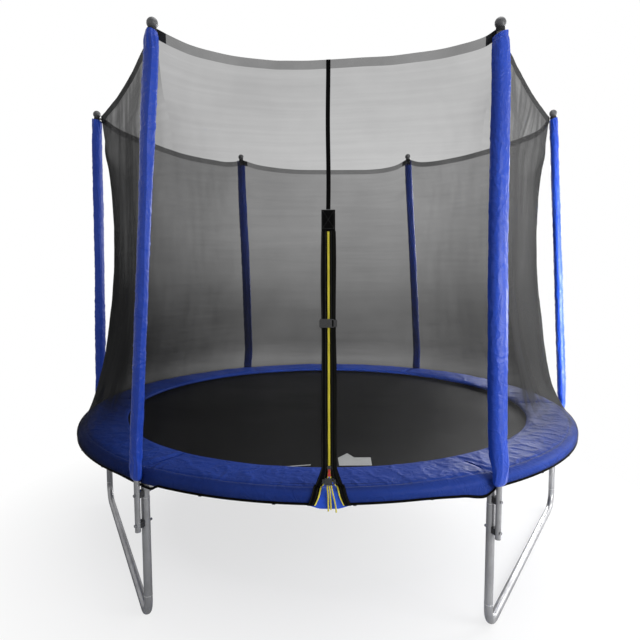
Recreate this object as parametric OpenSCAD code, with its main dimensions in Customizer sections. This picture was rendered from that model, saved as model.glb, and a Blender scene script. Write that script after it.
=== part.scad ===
// Round garden trampoline with a safety net. Three bent-tube leg bases carry six uprights and a ring
// of six curved rails. Sixty springs hang the jumping mat in the ring, a sectioned pad covers them,
// and six leaning poles in blue sleeves hold a net with a zipped door at the front.
// Millimetres, +Z up. The origin is on the ground under the ring's centre, and the door faces -Y.
// Heights are measured from the datum level, except in the leg bases.

/* [Ring and legs] */
// Outside diameter of the ring of rails
frame_d = 3050; // [3048:1:3052]
// Outside diameter of the rail and leg tubes
tube_d = 38; // [37.5:0.1:38.5]
// Wall thickness of the rail and leg tubes
tube_wall = 1.5; // [1.3:0.1:1.8]
// Height of the datum level above the ground: longer legs raise it and all that stands on them
datum_z = 42; // [20:2:80]
// Height of the rails' centre line above the datum level
rail_z = 640; // [639:0.5:641]
// Outside diameter of the sockets under the rails
socket_d = 36; // [35:0.5:36.5]
// Height of the joint between socket and upright
socket_z = 542; // [536:1:548]
// Height of the joint between upright and leg base above the ground
base_joint_z = 131; // [125:1:140]
// Bend radius of the leg bases, at the tube's centre line
base_bend_r = 95; // [80:1:100]

/* [Net poles] */
// Outside diameter of the pole tubes
pole_d = 25; // [24.5:0.1:25.2]
// Thickness of the saddle between pole and leg
spacer_t = 12.5; // [12:0.5:13]
// Height of the poles' lower ends
pole_bottom_z = 399; // [390:1:405]
// How far the poles lean from upright above their bend
lean = 3.5; // [3.3:0.1:3.6]
// Direction of the lean, turned from straight outwards
lean_turn = 142; // [140:1:144]
// Length of the lower pole above its bend
lower_pole_w = 600; // [500:10:700]
// Height of the ball's centre above the bend, along the pole
ball_w = 1710; // [1705:1:1712]
// Diameter of the ball on each pole cap
ball_d = 47; // [44:1:50]
// Outside diameter of the foam tubes
foam_d = 40; // [38:0.5:40]

/* [Mat and springs] */
// Diameter of the jumping mat
mat_d = 2640; // [2638:1:2641]
// Number of springs, a multiple of six
spring_count = 60; // [48:6:60]
// Outside diameter of the spring coils
spring_d = 21; // [18:0.5:22]
// Inner radius of the spring pad
pad_inner_r = 1258; // [1250:1:1265]

/* [Safety net] */
// Turn of the whole net against the ring
net_turn = 2.5; // [2.3:0.1:2.7]
// Height of the net's top hem at the poles
hem_corner_z = 2540; // [2536:1:2542]
// Height of the front panel's hem half-way between poles
hem_middle_z = 2403; // [2395:1:2420]
// Thickness of the net
net_t = 1.6; // [1.2:0.1:1.8]

/* [Door] */
// Lean of the zip from upright
zip_tilt = 12.25; // [12.2:0.05:12.3]
// Length of the slider's run
zip_run = 950; // [900:10:955]
// Diameter of the pull cords
cord_d = 6; // [4:0.5:6]

/* [Hidden] */
$fn = 48;
ring_fn = 240;
bend_fn = 720;
eps = 0.3;
poles = 6;
step = 360 / poles;

steel = [0.72, 0.73, 0.74];
zinc_dark = [0.45, 0.45, 0.46];
sleeve_blue = [0.12, 0.24, 0.70];
pad_blue = [0.14, 0.20, 0.55];
foam_grey = [0.60, 0.62, 0.64];
plastic_black = [0.12, 0.12, 0.12];
webbing_black = [0.05, 0.05, 0.05];
net_grey = [0.22, 0.22, 0.23];
mat_black = [0.08, 0.08, 0.08];
zip_yellow = [0.92, 0.85, 0.20];
pull_red = [0.75, 0.12, 0.08];

// Tubes
tube_r = tube_d / 2;
bore_r = tube_r - tube_wall;
plug_r = bore_r - 0.2;
plug_bore_r = plug_r - tube_wall;
socket_r = socket_d / 2;
ring_r = frame_d / 2 - tube_r;
rail_lead = 8;
rail_gap = 0.02;
plug_angle = 2.3;
plug_len = 60;
neck_angle = 0.15;
neck_len = 4;

// Springs and the holes that hold their outer hooks
spring_step = 360 / spring_count;
springs_per_rail = spring_count / poles;
hook_r = 1.8;
hook_hole_r = 2.6;
barrel_inner_r = 1390;
barrel_outer_r = 1468;
barrel_taper = 8;
loop_r = mat_d / 2 + 6.5;
inner_hook_r = 1350.8;
outer_hook_r = 1496;
hook_rise = 3.2;

// Leg bases stand between two poles: right, back and left
base_angles = [330, 90, 210];
base_x = ring_r * cos(30);
base_half = ring_r * sin(30);

// Poles
pole_tube_r = pole_d / 2;
pole_wall = 1.5;
pole_bore_r = pole_tube_r - pole_wall;
pole_plug_r = pole_bore_r - 0.2;
pole_plug_len = 80;
pole_r = ring_r + tube_r + spacer_t + pole_tube_r;
bend_z = 660;
bend_top_z = 843;
// The poles stand a little unevenly: the lean of each, its direction and how far the net's top
// corner follows it outwards and round, in pole order from the right
leans = [lean, lean, lean, lean - 0.15, lean + 0.2, lean + 0.2];
lean_turns = [lean_turn, lean_turn, lean_turn, lean_turn - 5, lean_turn - 1, lean_turn + 13];
corner_shifts = [[0, 0], [0, 0], [0, 0], [9, 4], [-4, 4], [-18, -18]];
function pole_bend_r(i) = (bend_top_z - bend_z) / sin(leans[i]);
function bend_shift(i) = pole_bend_r(i) * (1 - cos(leans[i]));
bend_slim = 0.04;
bend_lap = 3;
pole_top_w = ball_w - 34;
foam_drop = 97;
foam_slack = 2.3;
foam_top_w = pole_top_w - 50;
bolt_heights = [565, 430];
bolt_r = 4;
bolt_hole_r = 4.25;

// Pad, as a section through the ring: radius and height
pad_under = [[1527, 659.7], [1480, 659.7], [1440, 655], [pad_inner_r + 8, 652]];
pad_edge = [[pad_inner_r + 1, 657], [pad_inner_r, 664], [pad_inner_r + 3, 671], [pad_inner_r + 13, 675]];
pad_crown = [[1310, 679], [1360, 681.5], [1420, 682.5], [1480, 682], [1508, 680]];
pad_corner = [[1520, 677], [1526, 672], [1529.4, 664]];
pad_skirt = [[1529.6, 620], [1528.5, 618.5], [1527, 619]];
seam_section = [[1526, 660.2], [1480, 660.2], [1440, 655.5], [pad_inner_r + 9, 652.5],
                [pad_inner_r + 2, 657], [pad_inner_r + 1, 664], [pad_inner_r + 4, 670.5],
                [1310, 674], [1360, 676], [1420, 677], [1480, 677], [1508, 676], [1519, 674],
                [1525.5, 670], [1529.1, 662], [1529.2, 621], [1528.4, 619.5], [1527.4, 621]];
seam_angle = 0.35;
seam_lap = 0.1;
seam_gap = 0.02;

// The net's height against its radius, half-way between poles and at the poles
net_rows = [616.5, 655, 674, 684, 697, 730, 800, 900, 1050, 1250, 1450, 1700, 1790, 2050, 2300, 2498, 2540];
net_middle = [[616.5, 1532.5], [655, 1533], [674, 1531.5], [684, 1525], [697, 1514], [730, 1490],
              [800, 1440], [900, 1395], [1050, 1345], [1250, 1300], [1450, 1280], [1700, 1270],
              [1790, 1268], [2050, 1262], [2300, 1255], [2498, 1250], [2540, 1250]];
net_corner = [[616.5, 1532.5], [655, 1533], [674, 1531.5], [684, 1525], [697, 1516], [730, 1502],
              [800, 1478], [900, 1455], [1050, 1430], [1250, 1405], [1450, 1392], [1700, 1389],
              [1790, 1391], [2050, 1402], [2300, 1420], [2498, 1435], [2540, 1438]];
net_cols = 12;
hem_drop_z = 1790;
// Height of each panel's hem half-way between poles, and how sharply it drops from them
hem_middles = [2464, 2425, 2472, 2508, hem_middle_z, 2481];
hem_powers = [2, 2, 2, 2, 3, 2];
hem_row = 15;
zip_top_z = 1700;

// Door, measured across from its middle: inner and outer edges of the bands at each height
door_r = 1512;
door_z = 700;
door_inner = [[616, 60], [655, 43], [674, 37], [684, 33], [697, 24], [715, 10], [730, 7], [762, 5.5], [1800, 5.5]];
door_outer = [[616, 86], [655, 70], [674, 64], [684, 60], [697, 52], [715, 45], [730, 39], [762, 30], [1800, 30]];
band_rows = [616.5, 636, 655, 674, 684, 697, 706, 715, 730, 745, 762, 1698];
tape_rows = [616.5, 636, 655, 674, 684, 697, 706, 715, 730, 745];
strap_rows = [1792, 2050, 2300, 2498, 2539];
band_lift = 1.2;
band_t = 2.4;
tape_w = 5;
strap_w = 17;
slider_v = 46;
pull_pin_v = 50;
pull_pin_w = 8.7;
lower_buckle_v = -8;
upper_buckle_v = 613;
upper_buckle_w = 11.5;

// Routes of the pull cords in the door's upright plane: across, radius and height
cord_routes = [
    [[-8, 1521, 691], [-8, 1525, 688], [-8, 1532, 685], [-7, 1538, 678], [-6, 1539, 664],
     [-5, 1539, 648], [-5, 1539, 630], [-4, 1539, 612], [-4, 1539, 596]],
    [[0, 1521, 691], [0, 1525, 688], [1, 1532, 685], [2, 1538, 678], [3, 1539, 664],
     [4, 1539, 648], [5, 1539, 632], [6, 1539, 617], [6, 1539, 602]],
    [[8, 1521, 691], [8, 1525, 688], [9, 1532, 685], [11, 1538, 678], [14, 1539, 664],
     [18, 1539, 648], [22, 1539, 630], [25, 1539, 611], [27, 1539, 591]]];

// ---------------------------------------------------------------- shapes that repeat

// Part of a ring of round bar, from one angle to another
module ring_bar(r, from_a, to_a) {
    rotate([0, 0, from_a])
        rotate_extrude(angle = to_a - from_a, $fn = ring_fn)
            translate([ring_r, 0])
                circle(r = r);
}

// A thin closed sheet over a grid of outer and inner points; open(r, c) leaves cells out, and
// wrap joins the last column to the first
module sheet(outer, inner, rows, cols, wrap = false, open_col = -1, open_rows = 0) {
    points = concat(outer, inner);
    shift = len(outer);
    cells = wrap ? cols : cols - 1;
    there = function(r, c) r >= 0 && r < rows - 1 && (wrap || (c >= 0 && c < cells))
        && !(c == open_col && r < open_rows);
    o = function(r, c) r * cols + (c % cols);
    i = function(r, c) shift + o(r, c);
    faces = [for (r = [0:rows - 2], c = [0:cells - 1]) if (there(r, c)) each concat(
        [[o(r, c), o(r + 1, c), o(r + 1, c + 1)], [o(r, c), o(r + 1, c + 1), o(r, c + 1)],
         [i(r, c), i(r + 1, c + 1), i(r + 1, c)], [i(r, c), i(r, c + 1), i(r + 1, c + 1)]],
        there(r - 1, c) ? [] :
            [[o(r, c), o(r, c + 1), i(r, c + 1)], [o(r, c), i(r, c + 1), i(r, c)]],
        there(r + 1, c) ? [] :
            [[o(r + 1, c + 1), o(r + 1, c), i(r + 1, c)],
             [o(r + 1, c + 1), i(r + 1, c), i(r + 1, c + 1)]],
        wrap || there(r, c - 1) ? [] :
            [[o(r + 1, c), o(r, c), i(r, c)], [o(r + 1, c), i(r, c), i(r + 1, c)]],
        wrap || there(r, c + 1) ? [] :
            [[o(r, c + 1), o(r + 1, c + 1), i(r + 1, c + 1)],
             [o(r, c + 1), i(r + 1, c + 1), i(r, c + 1)]])];
    polyhedron(points = points, faces = faces, convexity = 6);
}

// A round tube swept along a list of points, with flat ends
module swept_tube(path, d, sides) {
    n = len(path);
    aim = function(k) let (a = path[max(k - 1, 0)], b = path[min(k + 1, n - 1)]) (b - a) / norm(b - a);
    side = function(k) let (s = cross(aim(k), [0, 0.2, 1])) s / norm(s);
    rings = [for (k = [0:n - 1], j = [0:sides - 1])
        let (s = side(k), u = cross(aim(k), s), a = 360 * j / sides)
        path[k] + d / 2 * (cos(a) * s + sin(a) * u)];
    walls = [for (k = [0:n - 2], j = [0:sides - 1])
        let (a = k * sides + j, b = k * sides + (j + 1) % sides)
        each [[a, a + sides, b], [b, a + sides, b + sides]]];
    ends = [[for (j = [0:sides - 1]) j], [for (j = [sides - 1:-1:0]) (n - 1) * sides + j]];
    polyhedron(points = rings, faces = concat(walls, ends), convexity = 4);
}

// ---------------------------------------------------------------- ring and legs

// Everything that stands on the legs is lifted to the datum level
module above_datum() {
    translate([0, 0, datum_z])
        children();
}

// Frame of one pole position: +X points outwards
module at_pole(i) {
    rotate([0, 0, step * i])
        children();
}

// Radial hole for one bolt of a pole
module bolt_hole(z) {
    translate([ring_r - 40, 0, z])
        rotate([0, 90, 0])
            cylinder(r = bolt_hole_r, h = 130);
}

// Curved rail with its welded socket; its far end is reduced to plug into the next rail
module top_rail(i) {
    from_a = step * i - rail_lead;
    to_a = from_a + step - rail_gap;
    socket_h = rail_z - socket_z;
    color(steel)
        above_datum()
            difference() {
                union() {
                    translate([0, 0, rail_z]) {
                        ring_bar(tube_r, from_a, to_a);
                        ring_bar(plug_r, to_a, to_a + plug_angle);
                    }
                    at_pole(i)
                        translate([ring_r, 0, socket_z])
                            cylinder(r = socket_r, h = socket_h);
                    at_pole(i)
                        translate([ring_r, 0, socket_z - plug_len])
                            cylinder(r = plug_r, h = plug_len);
                }
                translate([0, 0, rail_z]) {
                    ring_bar(bore_r, from_a - 1, to_a - neck_angle);
                    ring_bar(plug_bore_r, to_a - neck_angle, to_a + plug_angle + 1);
                }
                at_pole(i)
                    translate([ring_r, 0, socket_z + neck_len])
                        cylinder(r = socket_r - tube_wall, h = socket_h - neck_len);
                at_pole(i)
                    translate([ring_r, 0, socket_z - plug_len - 1])
                        cylinder(r = plug_bore_r, h = plug_len + neck_len + 1);
                at_pole(i)
                    bolt_hole(bolt_heights[0]);
                for (k = [0:springs_per_rail - 1])
                    rotate([0, 0, step * i + spring_step * (k - 0.5)])
                        translate([ring_r - tube_r - 4, 0, rail_z])
                            rotate([0, 90, 0])
                                cylinder(r = hook_hole_r, h = 14);
            }
}

// Straight upright between leg base and socket
module leg_upright(i) {
    upright_h = socket_z + datum_z - base_joint_z;
    color(steel)
        above_datum()
            at_pole(i)
                difference() {
                    translate([ring_r, 0, base_joint_z - datum_z])
                        cylinder(r = tube_r, h = upright_h);
                    translate([ring_r, 0, base_joint_z - datum_z - 1])
                        cylinder(r = bore_r, h = upright_h + 2);
                    bolt_hole(bolt_heights[1]);
                }
}

// One end of a leg base: quarter bend, short rise and the plug for its upright
module base_end(r, rise_top, end_r, end_from, end_to) {
    translate([base_x, base_half - base_bend_r, tube_r + base_bend_r])
        rotate([90, 0, 90])
            rotate([0, 0, -90])
                rotate_extrude(angle = 90, $fn = 96)
                    translate([base_bend_r, 0])
                        circle(r = r, $fn = 48);
    translate([base_x, base_half, tube_r + base_bend_r])
        cylinder(r = r, h = rise_top - tube_r - base_bend_r);
    translate([base_x, base_half, end_from])
        cylinder(r = end_r, h = end_to - end_from);
}

module base_run(r) {
    translate([base_x, base_bend_r - base_half, tube_r])
        rotate([-90, 0, 0])
            cylinder(r = r, h = 2 * (base_half - base_bend_r));
}

// Ground tube with two bent-up ends
module leg_base(k) {
    plug_top = base_joint_z + plug_len;
    bore_top = base_joint_z - neck_len;
    color(steel)
        rotate([0, 0, base_angles[k]])
            difference() {
                union() {
                    base_run(tube_r);
                    for (m = [0, 1])
                        mirror([0, m, 0])
                            base_end(tube_r, base_joint_z, plug_r, base_joint_z, plug_top);
                }
                base_run(bore_r);
                for (m = [0, 1])
                    mirror([0, m, 0])
                        base_end(bore_r, bore_top, plug_bore_r, bore_top, plug_top + 1);
            }
}

// ---------------------------------------------------------------- net poles

// Frame in which the pole leans towards +X
module lean_frame(i) {
    at_pole(i)
        translate([pole_r, 0, 0])
            rotate([0, 0, lean_turns[i]])
                children();
}

// Frame on the leaning stretch: +Z runs up the pole from the end of the bend
module upper_frame(i) {
    lean_frame(i)
        translate([bend_shift(i), 0, bend_top_z])
            rotate([0, leans[i], 0])
                children();
}

// The pole's bend, from upright to its lean
module pole_bend(i, r) {
    translate([pole_bend_r(i), 0, bend_z])
        rotate([90, 0, 0])
            rotate([0, 0, 180 - leans[i]])
                rotate_extrude(angle = leans[i], $fn = bend_fn)
                    translate([pole_bend_r(i), 0])
                        circle(r = r, $fn = 48);
}

// Sideways shift of the pole's centre line at a height
function lean_at(i, z) =
    z < bend_z ? 0 :
    z < bend_top_z ? pole_bend_r(i) - sqrt(pow(pole_bend_r(i), 2) - pow(z - bend_z, 2)) :
    bend_shift(i) + (z - bend_top_z) * tan(leans[i]);

// Lower pole: straight along the leg, a slight bend, and a straight leaning stretch
module lower_pole(i) {
    color(steel)
        above_datum()
            difference() {
                union() {
                    lean_frame(i) {
                        translate([0, 0, pole_bottom_z])
                            cylinder(r = pole_tube_r, h = bend_z + bend_lap - pole_bottom_z);
                        pole_bend(i, pole_tube_r - bend_slim);
                    }
                    upper_frame(i)
                        translate([0, 0, -bend_lap])
                            cylinder(r = pole_tube_r, h = lower_pole_w + bend_lap);
                }
                lean_frame(i) {
                    translate([0, 0, pole_bottom_z - 1])
                        cylinder(r = pole_bore_r, h = bend_z + bend_lap - pole_bottom_z + 1);
                    pole_bend(i, pole_bore_r - bend_slim);
                }
                upper_frame(i)
                    translate([0, 0, -bend_lap])
                        cylinder(r = pole_bore_r, h = lower_pole_w + bend_lap + 1);
                for (z = bolt_heights)
                    at_pole(i)
                        bolt_hole(z);
            }
}

// Six upper poles, each plugged into its lower pole
module upper_poles() {
    color(steel)
        above_datum()
            for (i = [0:poles - 1])
                upper_frame(i)
                    difference() {
                        union() {
                            translate([0, 0, lower_pole_w])
                                cylinder(r = pole_tube_r, h = pole_top_w - lower_pole_w);
                            translate([0, 0, lower_pole_w - pole_plug_len])
                                cylinder(r = pole_plug_r, h = pole_plug_len);
                        }
                        translate([0, 0, lower_pole_w - pole_plug_len - 1])
                            cylinder(r = pole_plug_r - pole_wall, h = pole_plug_len + neck_len + 1);
                        translate([0, 0, lower_pole_w + neck_len])
                            cylinder(r = pole_bore_r, h = pole_top_w - lower_pole_w);
                    }
}

// Six straight foam tubes, slipped loosely over the poles inside the sleeves
module foam_tubes() {
    foam_h = foam_drop + foam_top_w;
    color(foam_grey)
        above_datum()
            for (i = [0:poles - 1])
                upper_frame(i)
                    translate([0, 0, -foam_drop])
                        difference() {
                            cylinder(d = foam_d, h = foam_h);
                            translate([0, 0, -1])
                                cylinder(r = pole_tube_r + foam_slack, h = foam_h + 2);
                        }
}

// Rings of a sleeve: height, half width across, depth towards the net and depth outwards
sleeve_rings = [[634.5, 25, 14.8, 15], [646, 31, 15, 21], [698, 34, 15, 26], [745, 35, 24, 29],
                [1250, 35, 26, 29], [1900, 34, 25, 29], [2470, 31, 23, 27], [2508, 21.8, 20.6, 21]];
sleeve_sides = 18;
sleeve_wall = 1.2;
// How slack each sleeve is and how far it hangs outwards and round, in pole order from the right
sleeve_slack = [0.80, 0.88, 0.98, 0.84, 0.78, 1.08];
sleeve_hang = [[0, 0], [2, -6], [-5, -11], [0, 0], [0, 0], [-5.5, -10.5]];
sleeve_least = [[745, 23.2], [1250, 22.2]];
// Half width of each sleeve's top, and how much higher it ends outside than at the net
sleeve_tops = [21.8, 21.8, 21.8, 21.8, 21.8, 33];
sleeve_top_rise = 16;
hang_share = [[700, 0], [850, 1], [1400, 1], [2300, 0]];

function sleeve_point(i, ring, j, inset) =
    let (top = ring[0] > 2500, a = 360 * j / sleeve_sides, flat = 0.8,
         z = ring[0] + (top ? sleeve_top_rise * (1 + cos(a)) / 2 : 0),
         slack = top ? 1 : 1 + (sleeve_slack[i] - 1) * (z > 700 ? 1 : 0.4),
         hang = lookup(z, hang_share) * sleeve_hang[i],
         least = z > 740 && !top ? lookup(z, sleeve_least) : 0,
         wide = (top ? sleeve_tops[i] : max(ring[1] * slack, least + abs(hang[1]))) - inset,
         inward = cos(a) < 0,
         depth = ring[inward ? 2 : 3] * (z < 740 && inward ? 1 : slack),
         deep = max(depth, least > 0 ? least + abs(hang[0]) : 0) - inset)
    [pole_r + lean_at(i, z) * cos(lean_turns[i]) + hang[0] + deep * sign(cos(a)) * pow(abs(cos(a)), flat),
     lean_at(i, z) * sin(lean_turns[i]) + hang[1] + wide * sign(sin(a)) * pow(abs(sin(a)), flat), z];

// Slack fabric tube round one foam tube, from the pad's skirt to the cap
module pole_sleeve(i) {
    outer = [for (ring = sleeve_rings, j = [0:sleeve_sides - 1]) sleeve_point(i, ring, j, 0)];
    inner = [for (ring = sleeve_rings, j = [0:sleeve_sides - 1]) sleeve_point(i, ring, j, sleeve_wall)];
    color(sleeve_blue)
        above_datum()
            at_pole(i)
                sheet(outer, inner, len(sleeve_rings), sleeve_sides, wrap = true);
}

// Ball caps, each with a neck that fits over its pole
module pole_caps() {
    neck_r = 16;
    color(plastic_black)
        above_datum()
            for (i = [0:poles - 1])
                upper_frame(i)
                    difference() {
                        union() {
                            translate([0, 0, pole_top_w - 24])
                                cylinder(r = neck_r, h = ball_w - pole_top_w + 24);
                            translate([0, 0, ball_w])
                                sphere(d = ball_d);
                        }
                        translate([0, 0, pole_top_w - 25])
                            cylinder(r = pole_tube_r + 0.2, h = 25 + 0.2);
                    }
}

// Saddles that hold the poles off the legs, hollowed for both tubes
module pole_spacers() {
    leg_radii = [socket_r, tube_r];
    color(plastic_black)
        above_datum()
            for (i = [0:poles - 1], k = [0, 1])
                at_pole(i)
                    difference() {
                        translate([ring_r + 12, -12, bolt_heights[k] - 14])
                            cube([pole_r - ring_r - 18, 24, 28]);
                        translate([ring_r, 0, bolt_heights[k] - 15])
                            cylinder(r = leg_radii[k] + 0.1, h = 30);
                        translate([pole_r, 0, bolt_heights[k] - 15])
                            cylinder(r = pole_tube_r + 0.1, h = 30);
                        bolt_hole(bolt_heights[k]);
                    }
}

// Bolts through pole, saddle and leg, with their heads outwards
module pole_bolts() {
    head_h = 4;
    color(zinc_dark)
        above_datum()
            for (i = [0:poles - 1], z = bolt_heights)
                at_pole(i)
                    translate([pole_r + pole_tube_r + 0.1, 0, z])
                        rotate([0, 90, 0]) {
                            cylinder(r = 7, h = head_h);
                            translate([0, 0, -84])
                                cylinder(r = bolt_r, h = 84);
                        }
}

// Cap nuts on the bolts' inner ends
module pole_nuts() {
    leg_radii = [socket_r, tube_r];
    color(zinc_dark)
        above_datum()
            for (i = [0:poles - 1], k = [0, 1])
                at_pole(i)
                    translate([ring_r - leg_radii[k] - 0.1, 0, bolt_heights[k]])
                        rotate([0, -90, 0])
                            difference() {
                                union() {
                                    cylinder(r = 7, h = 6, $fn = 6);
                                    cylinder(r = 5.5, h = 12);
                                }
                                translate([0, 0, -1])
                                    cylinder(r = bolt_r + 0.05, h = 11.5);
                            }
}

// ---------------------------------------------------------------- pad, mat and springs

// One section of the spring pad, from pole to pole, drawn in along its seams
module spring_pad(i) {
    from_a = step * i + seam_gap;
    span = step - 2 * seam_gap;
    color(pad_blue)
        above_datum()
            rotate([0, 0, from_a]) {
                rotate([0, 0, seam_angle])
                    rotate_extrude(angle = span - 2 * seam_angle, $fn = ring_fn)
                        polygon(concat(pad_under, pad_edge, pad_crown, pad_corner, pad_skirt));
                for (a = [0, span - seam_angle - seam_lap])
                    rotate([0, 0, a])
                        rotate_extrude(angle = seam_angle + seam_lap, $fn = 4 * ring_fn)
                            polygon(seam_section);
            }
}

// Woven jumping mat
module jumping_mat() {
    color(mat_black)
        above_datum()
            translate([0, 0, rail_z - 1])
                cylinder(d = mat_d, h = 2, $fn = ring_fn);
}

// Sewn edge band with a loop for every spring
module mat_band() {
    band_w = 34;
    color(webbing_black)
        above_datum() {
            difference() {
                union() {
                    translate([0, 0, rail_z + 1])
                        rotate_extrude($fn = ring_fn)
                            translate([mat_d / 2 - band_w + 4, 0])
                                square([band_w, 1.5]);
                    for (k = [0:spring_count - 1])
                        rotate([0, 0, spring_step * (k + 0.5)])
                            translate([mat_d / 2 + 0.3, -11, rail_z - 4.5])
                                cube([11, 22, 7]);
                }
                for (k = [0:spring_count - 1])
                    rotate([0, 0, spring_step * (k + 0.5)])
                        translate([loop_r, 13, rail_z - 1])
                            rotate([90, 0, 0])
                                cylinder(r = 2.4, h = 26);
            }
        }
}

// Triangular wire rings between the band's loops and the springs
module mat_rings() {
    wire_t = 3.2;
    color(zinc_dark)
        above_datum()
            for (k = [0:spring_count - 1])
                rotate([0, 0, spring_step * (k + 0.5)])
                    translate([loop_r, 0, rail_z - 1 - wire_t / 2])
                        linear_extrude(height = wire_t)
                            difference() {
                                polygon([[-1.6, -19], [30.5, -4], [30.5, 4], [-1.6, 19]]);
                                polygon([[1.6, -13.8], [27.3, -2], [27.3, 2], [1.6, 13.8]]);
                            }
}

// Extension springs: a tapered barrel of close coils and a hook at each end
module springs() {
    coil_r = spring_d / 2;
    color(steel)
        above_datum()
            for (k = [0:spring_count - 1])
                rotate([0, 0, spring_step * (k + 0.5)]) {
                    translate([0, 0, rail_z])
                        rotate([0, 90, 0])
                            rotate_extrude($fn = 32)
                                polygon([[0, barrel_inner_r - barrel_taper],
                                         [coil_r - 4, barrel_inner_r - barrel_taper],
                                         [coil_r, barrel_inner_r], [coil_r, barrel_outer_r],
                                         [coil_r - 5, barrel_outer_r + barrel_taper],
                                         [0, barrel_outer_r + barrel_taper]]);
                    translate([inner_hook_r - hook_r, 0, rail_z + hook_rise])
                        rotate([0, 90, 0])
                            cylinder(r = hook_r, h = barrel_inner_r - inner_hook_r, $fn = 24);
                    translate([inner_hook_r, 0, rail_z - 6])
                        cylinder(r = hook_r, h = 6 + hook_rise, $fn = 24);
                    translate([barrel_outer_r, 0, rail_z])
                        rotate([0, 90, 0])
                            cylinder(r = hook_r, h = outer_hook_r + hook_r - barrel_outer_r, $fn = 24);
                    translate([outer_hook_r, 0, rail_z - 9])
                        cylinder(r = hook_r, h = 9, $fn = 24);
                }
}

// ---------------------------------------------------------------- net

// How far the front panel's middle is pulled out to the straight zip line, fading above the door
function door_pull(z) =
    let (low = min(z, hem_drop_z), fade = max(0, 1 - (z - low) / 260))
    z < door_z - 4 ? 0 : fade * (door_r - (low - door_z) * tan(zip_tilt) - lookup(low, net_middle));

// Radius of the net at a height and at s, which runs from -1 to 1 between two poles
function net_radius(s, z, front) =
    let (middle = lookup(z, net_middle), corner = lookup(z, net_corner))
    middle + (corner - middle) * s * s + (front ? door_pull(z) * pow(1 - s * s, 2) : 0);

// Real height of a row of panel i, which sags between poles near the top
function net_height(i, s, z) =
    let (top = hem_middles[i] + (hem_corner_z - hem_middles[i]) * pow(abs(s), hem_powers[i]))
    z <= hem_drop_z ? z : hem_drop_z + (z - hem_drop_z) * (top - hem_drop_z) / (hem_corner_z - hem_drop_z);

// How much of its pole's shift a point of the net takes up
function corner_share(s, z) =
    pow(max(0, abs(s) - 0.2) / 0.8, 1.5) * max(0, z - hem_drop_z) / (hem_corner_z - hem_drop_z);

// A point of panel i's net, moved out from its middle surface by lift
function net_point(i, a, s, z, lift) =
    let (front = i == 4,
         up = min(z + 4, hem_corner_z), down = max(z - 4, net_rows[0]),
         rise = net_height(i, s, up) - net_height(i, s, down),
         run = net_radius(s, up, front) - net_radius(s, down, front),
         long = norm([rise, run]),
         follow = corner_share(s, z) * corner_shifts[(s > 0 ? i + 1 : i) % poles],
         r = net_radius(s, z, front) + lift * rise / long + follow[0],
         h = net_height(i, s, z) - lift * run / long,
         turn = a + follow[1] / r * 180 / PI)
    [r * cos(turn), r * sin(turn), h];

// Angle of a column from the panel's middle; the front panel leaves room for the door
function column_angle(c, z, front) =
    let (half = net_cols / 2, edge = (lookup(z, door_inner) + 8) / door_r * 180 / PI)
    !front ? step * (c / net_cols - 0.5) :
    c <= half ? -30 + (30 - edge) * c / half : edge + (30 - edge) * (c - half - 1) / half;

// One net panel between two poles, split under the zip when it is the front one
module net_panel(i) {
    front = i == 4;
    cols = front ? net_cols + 2 : net_cols + 1;
    open_rows = len([for (z = net_rows) if (z < zip_top_z) z]);
    half = step / 2;
    side = function(lift) [for (z = net_rows, c = [0:cols - 1])
        let (a = column_angle(c, z, front))
        net_point(i, a, a / half, z, lift)];
    color(net_grey)
        above_datum()
            rotate([0, 0, step * i + half + net_turn])
                sheet(side(net_t / 2), side(-net_t / 2), len(net_rows), cols,
                      open_col = front ? net_cols / 2 : -1, open_rows = open_rows);
}

// Clips that hold the net's lower edge to the rails, four on each rail
module net_ties() {
    clip = [for (a = [215:10:325]) [ring_r + (tube_r + eps) * cos(a), rail_z + (tube_r + eps) * sin(a)]];
    back = [for (a = [325:-10:215]) [ring_r + (tube_r + 3) * cos(a), rail_z + (tube_r + 3) * sin(a)]];
    color(plastic_black)
        above_datum()
            for (i = [0:poles - 1], k = [1:4])
                rotate([0, 0, step * i + 12 * k])
                    rotate_extrude(angle = 0.5, $fn = 4 * ring_fn)
                        union() {
                            polygon(concat(clip, back));
                            translate([ring_r - 4, rail_z - tube_r - 7.5])
                                square([1533.5 - ring_r + 4, 2.2]);
                            translate([ring_r - 4, rail_z - tube_r - 7.5])
                                square([8, 5]);
                        }
}

// A strip on the front panel's outer face, between two distances from the panel's middle
module net_strip(z_rows, from_y, to_y, lift, thick, cols = 2) {
    angle = function(y, z) y / net_radius(0, z, true) * 180 / PI;
    side = function(at) [for (z = z_rows, c = [0:cols - 1])
        let (a = angle(from_y(z) + (to_y(z) - from_y(z)) * c / (cols - 1), z))
        net_point(4, a, a / (step / 2), z, at)];
    sheet(side(lift + thick), side(lift), len(z_rows), cols);
}

// Webbing at each upper corner of the net, looped round the cap's neck
module net_corner_straps() {
    corner_r = lookup(hem_corner_z, net_corner);
    color(webbing_black)
        above_datum()
            for (i = [0:poles - 1]) {
                shift = corner_shifts[i];
                net_wing((i + poles - 1) % poles, 1);
                net_wing(i, -1);
                upper_frame(i)
                    translate([0, 0, pole_top_w - 2])
                        difference() {
                            cylinder(r = 18.5, h = 16);
                            translate([0, 0, -1])
                                cylinder(r = 16.3, h = 18);
                        }
                rotate([0, 0, step * i + net_turn + shift[1] / corner_r * 180 / PI])
                    translate([corner_r + shift[0] + 1.5, -9, hem_corner_z - 23])
                        cube([8.8, 18, 14]);
            }
}

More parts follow.
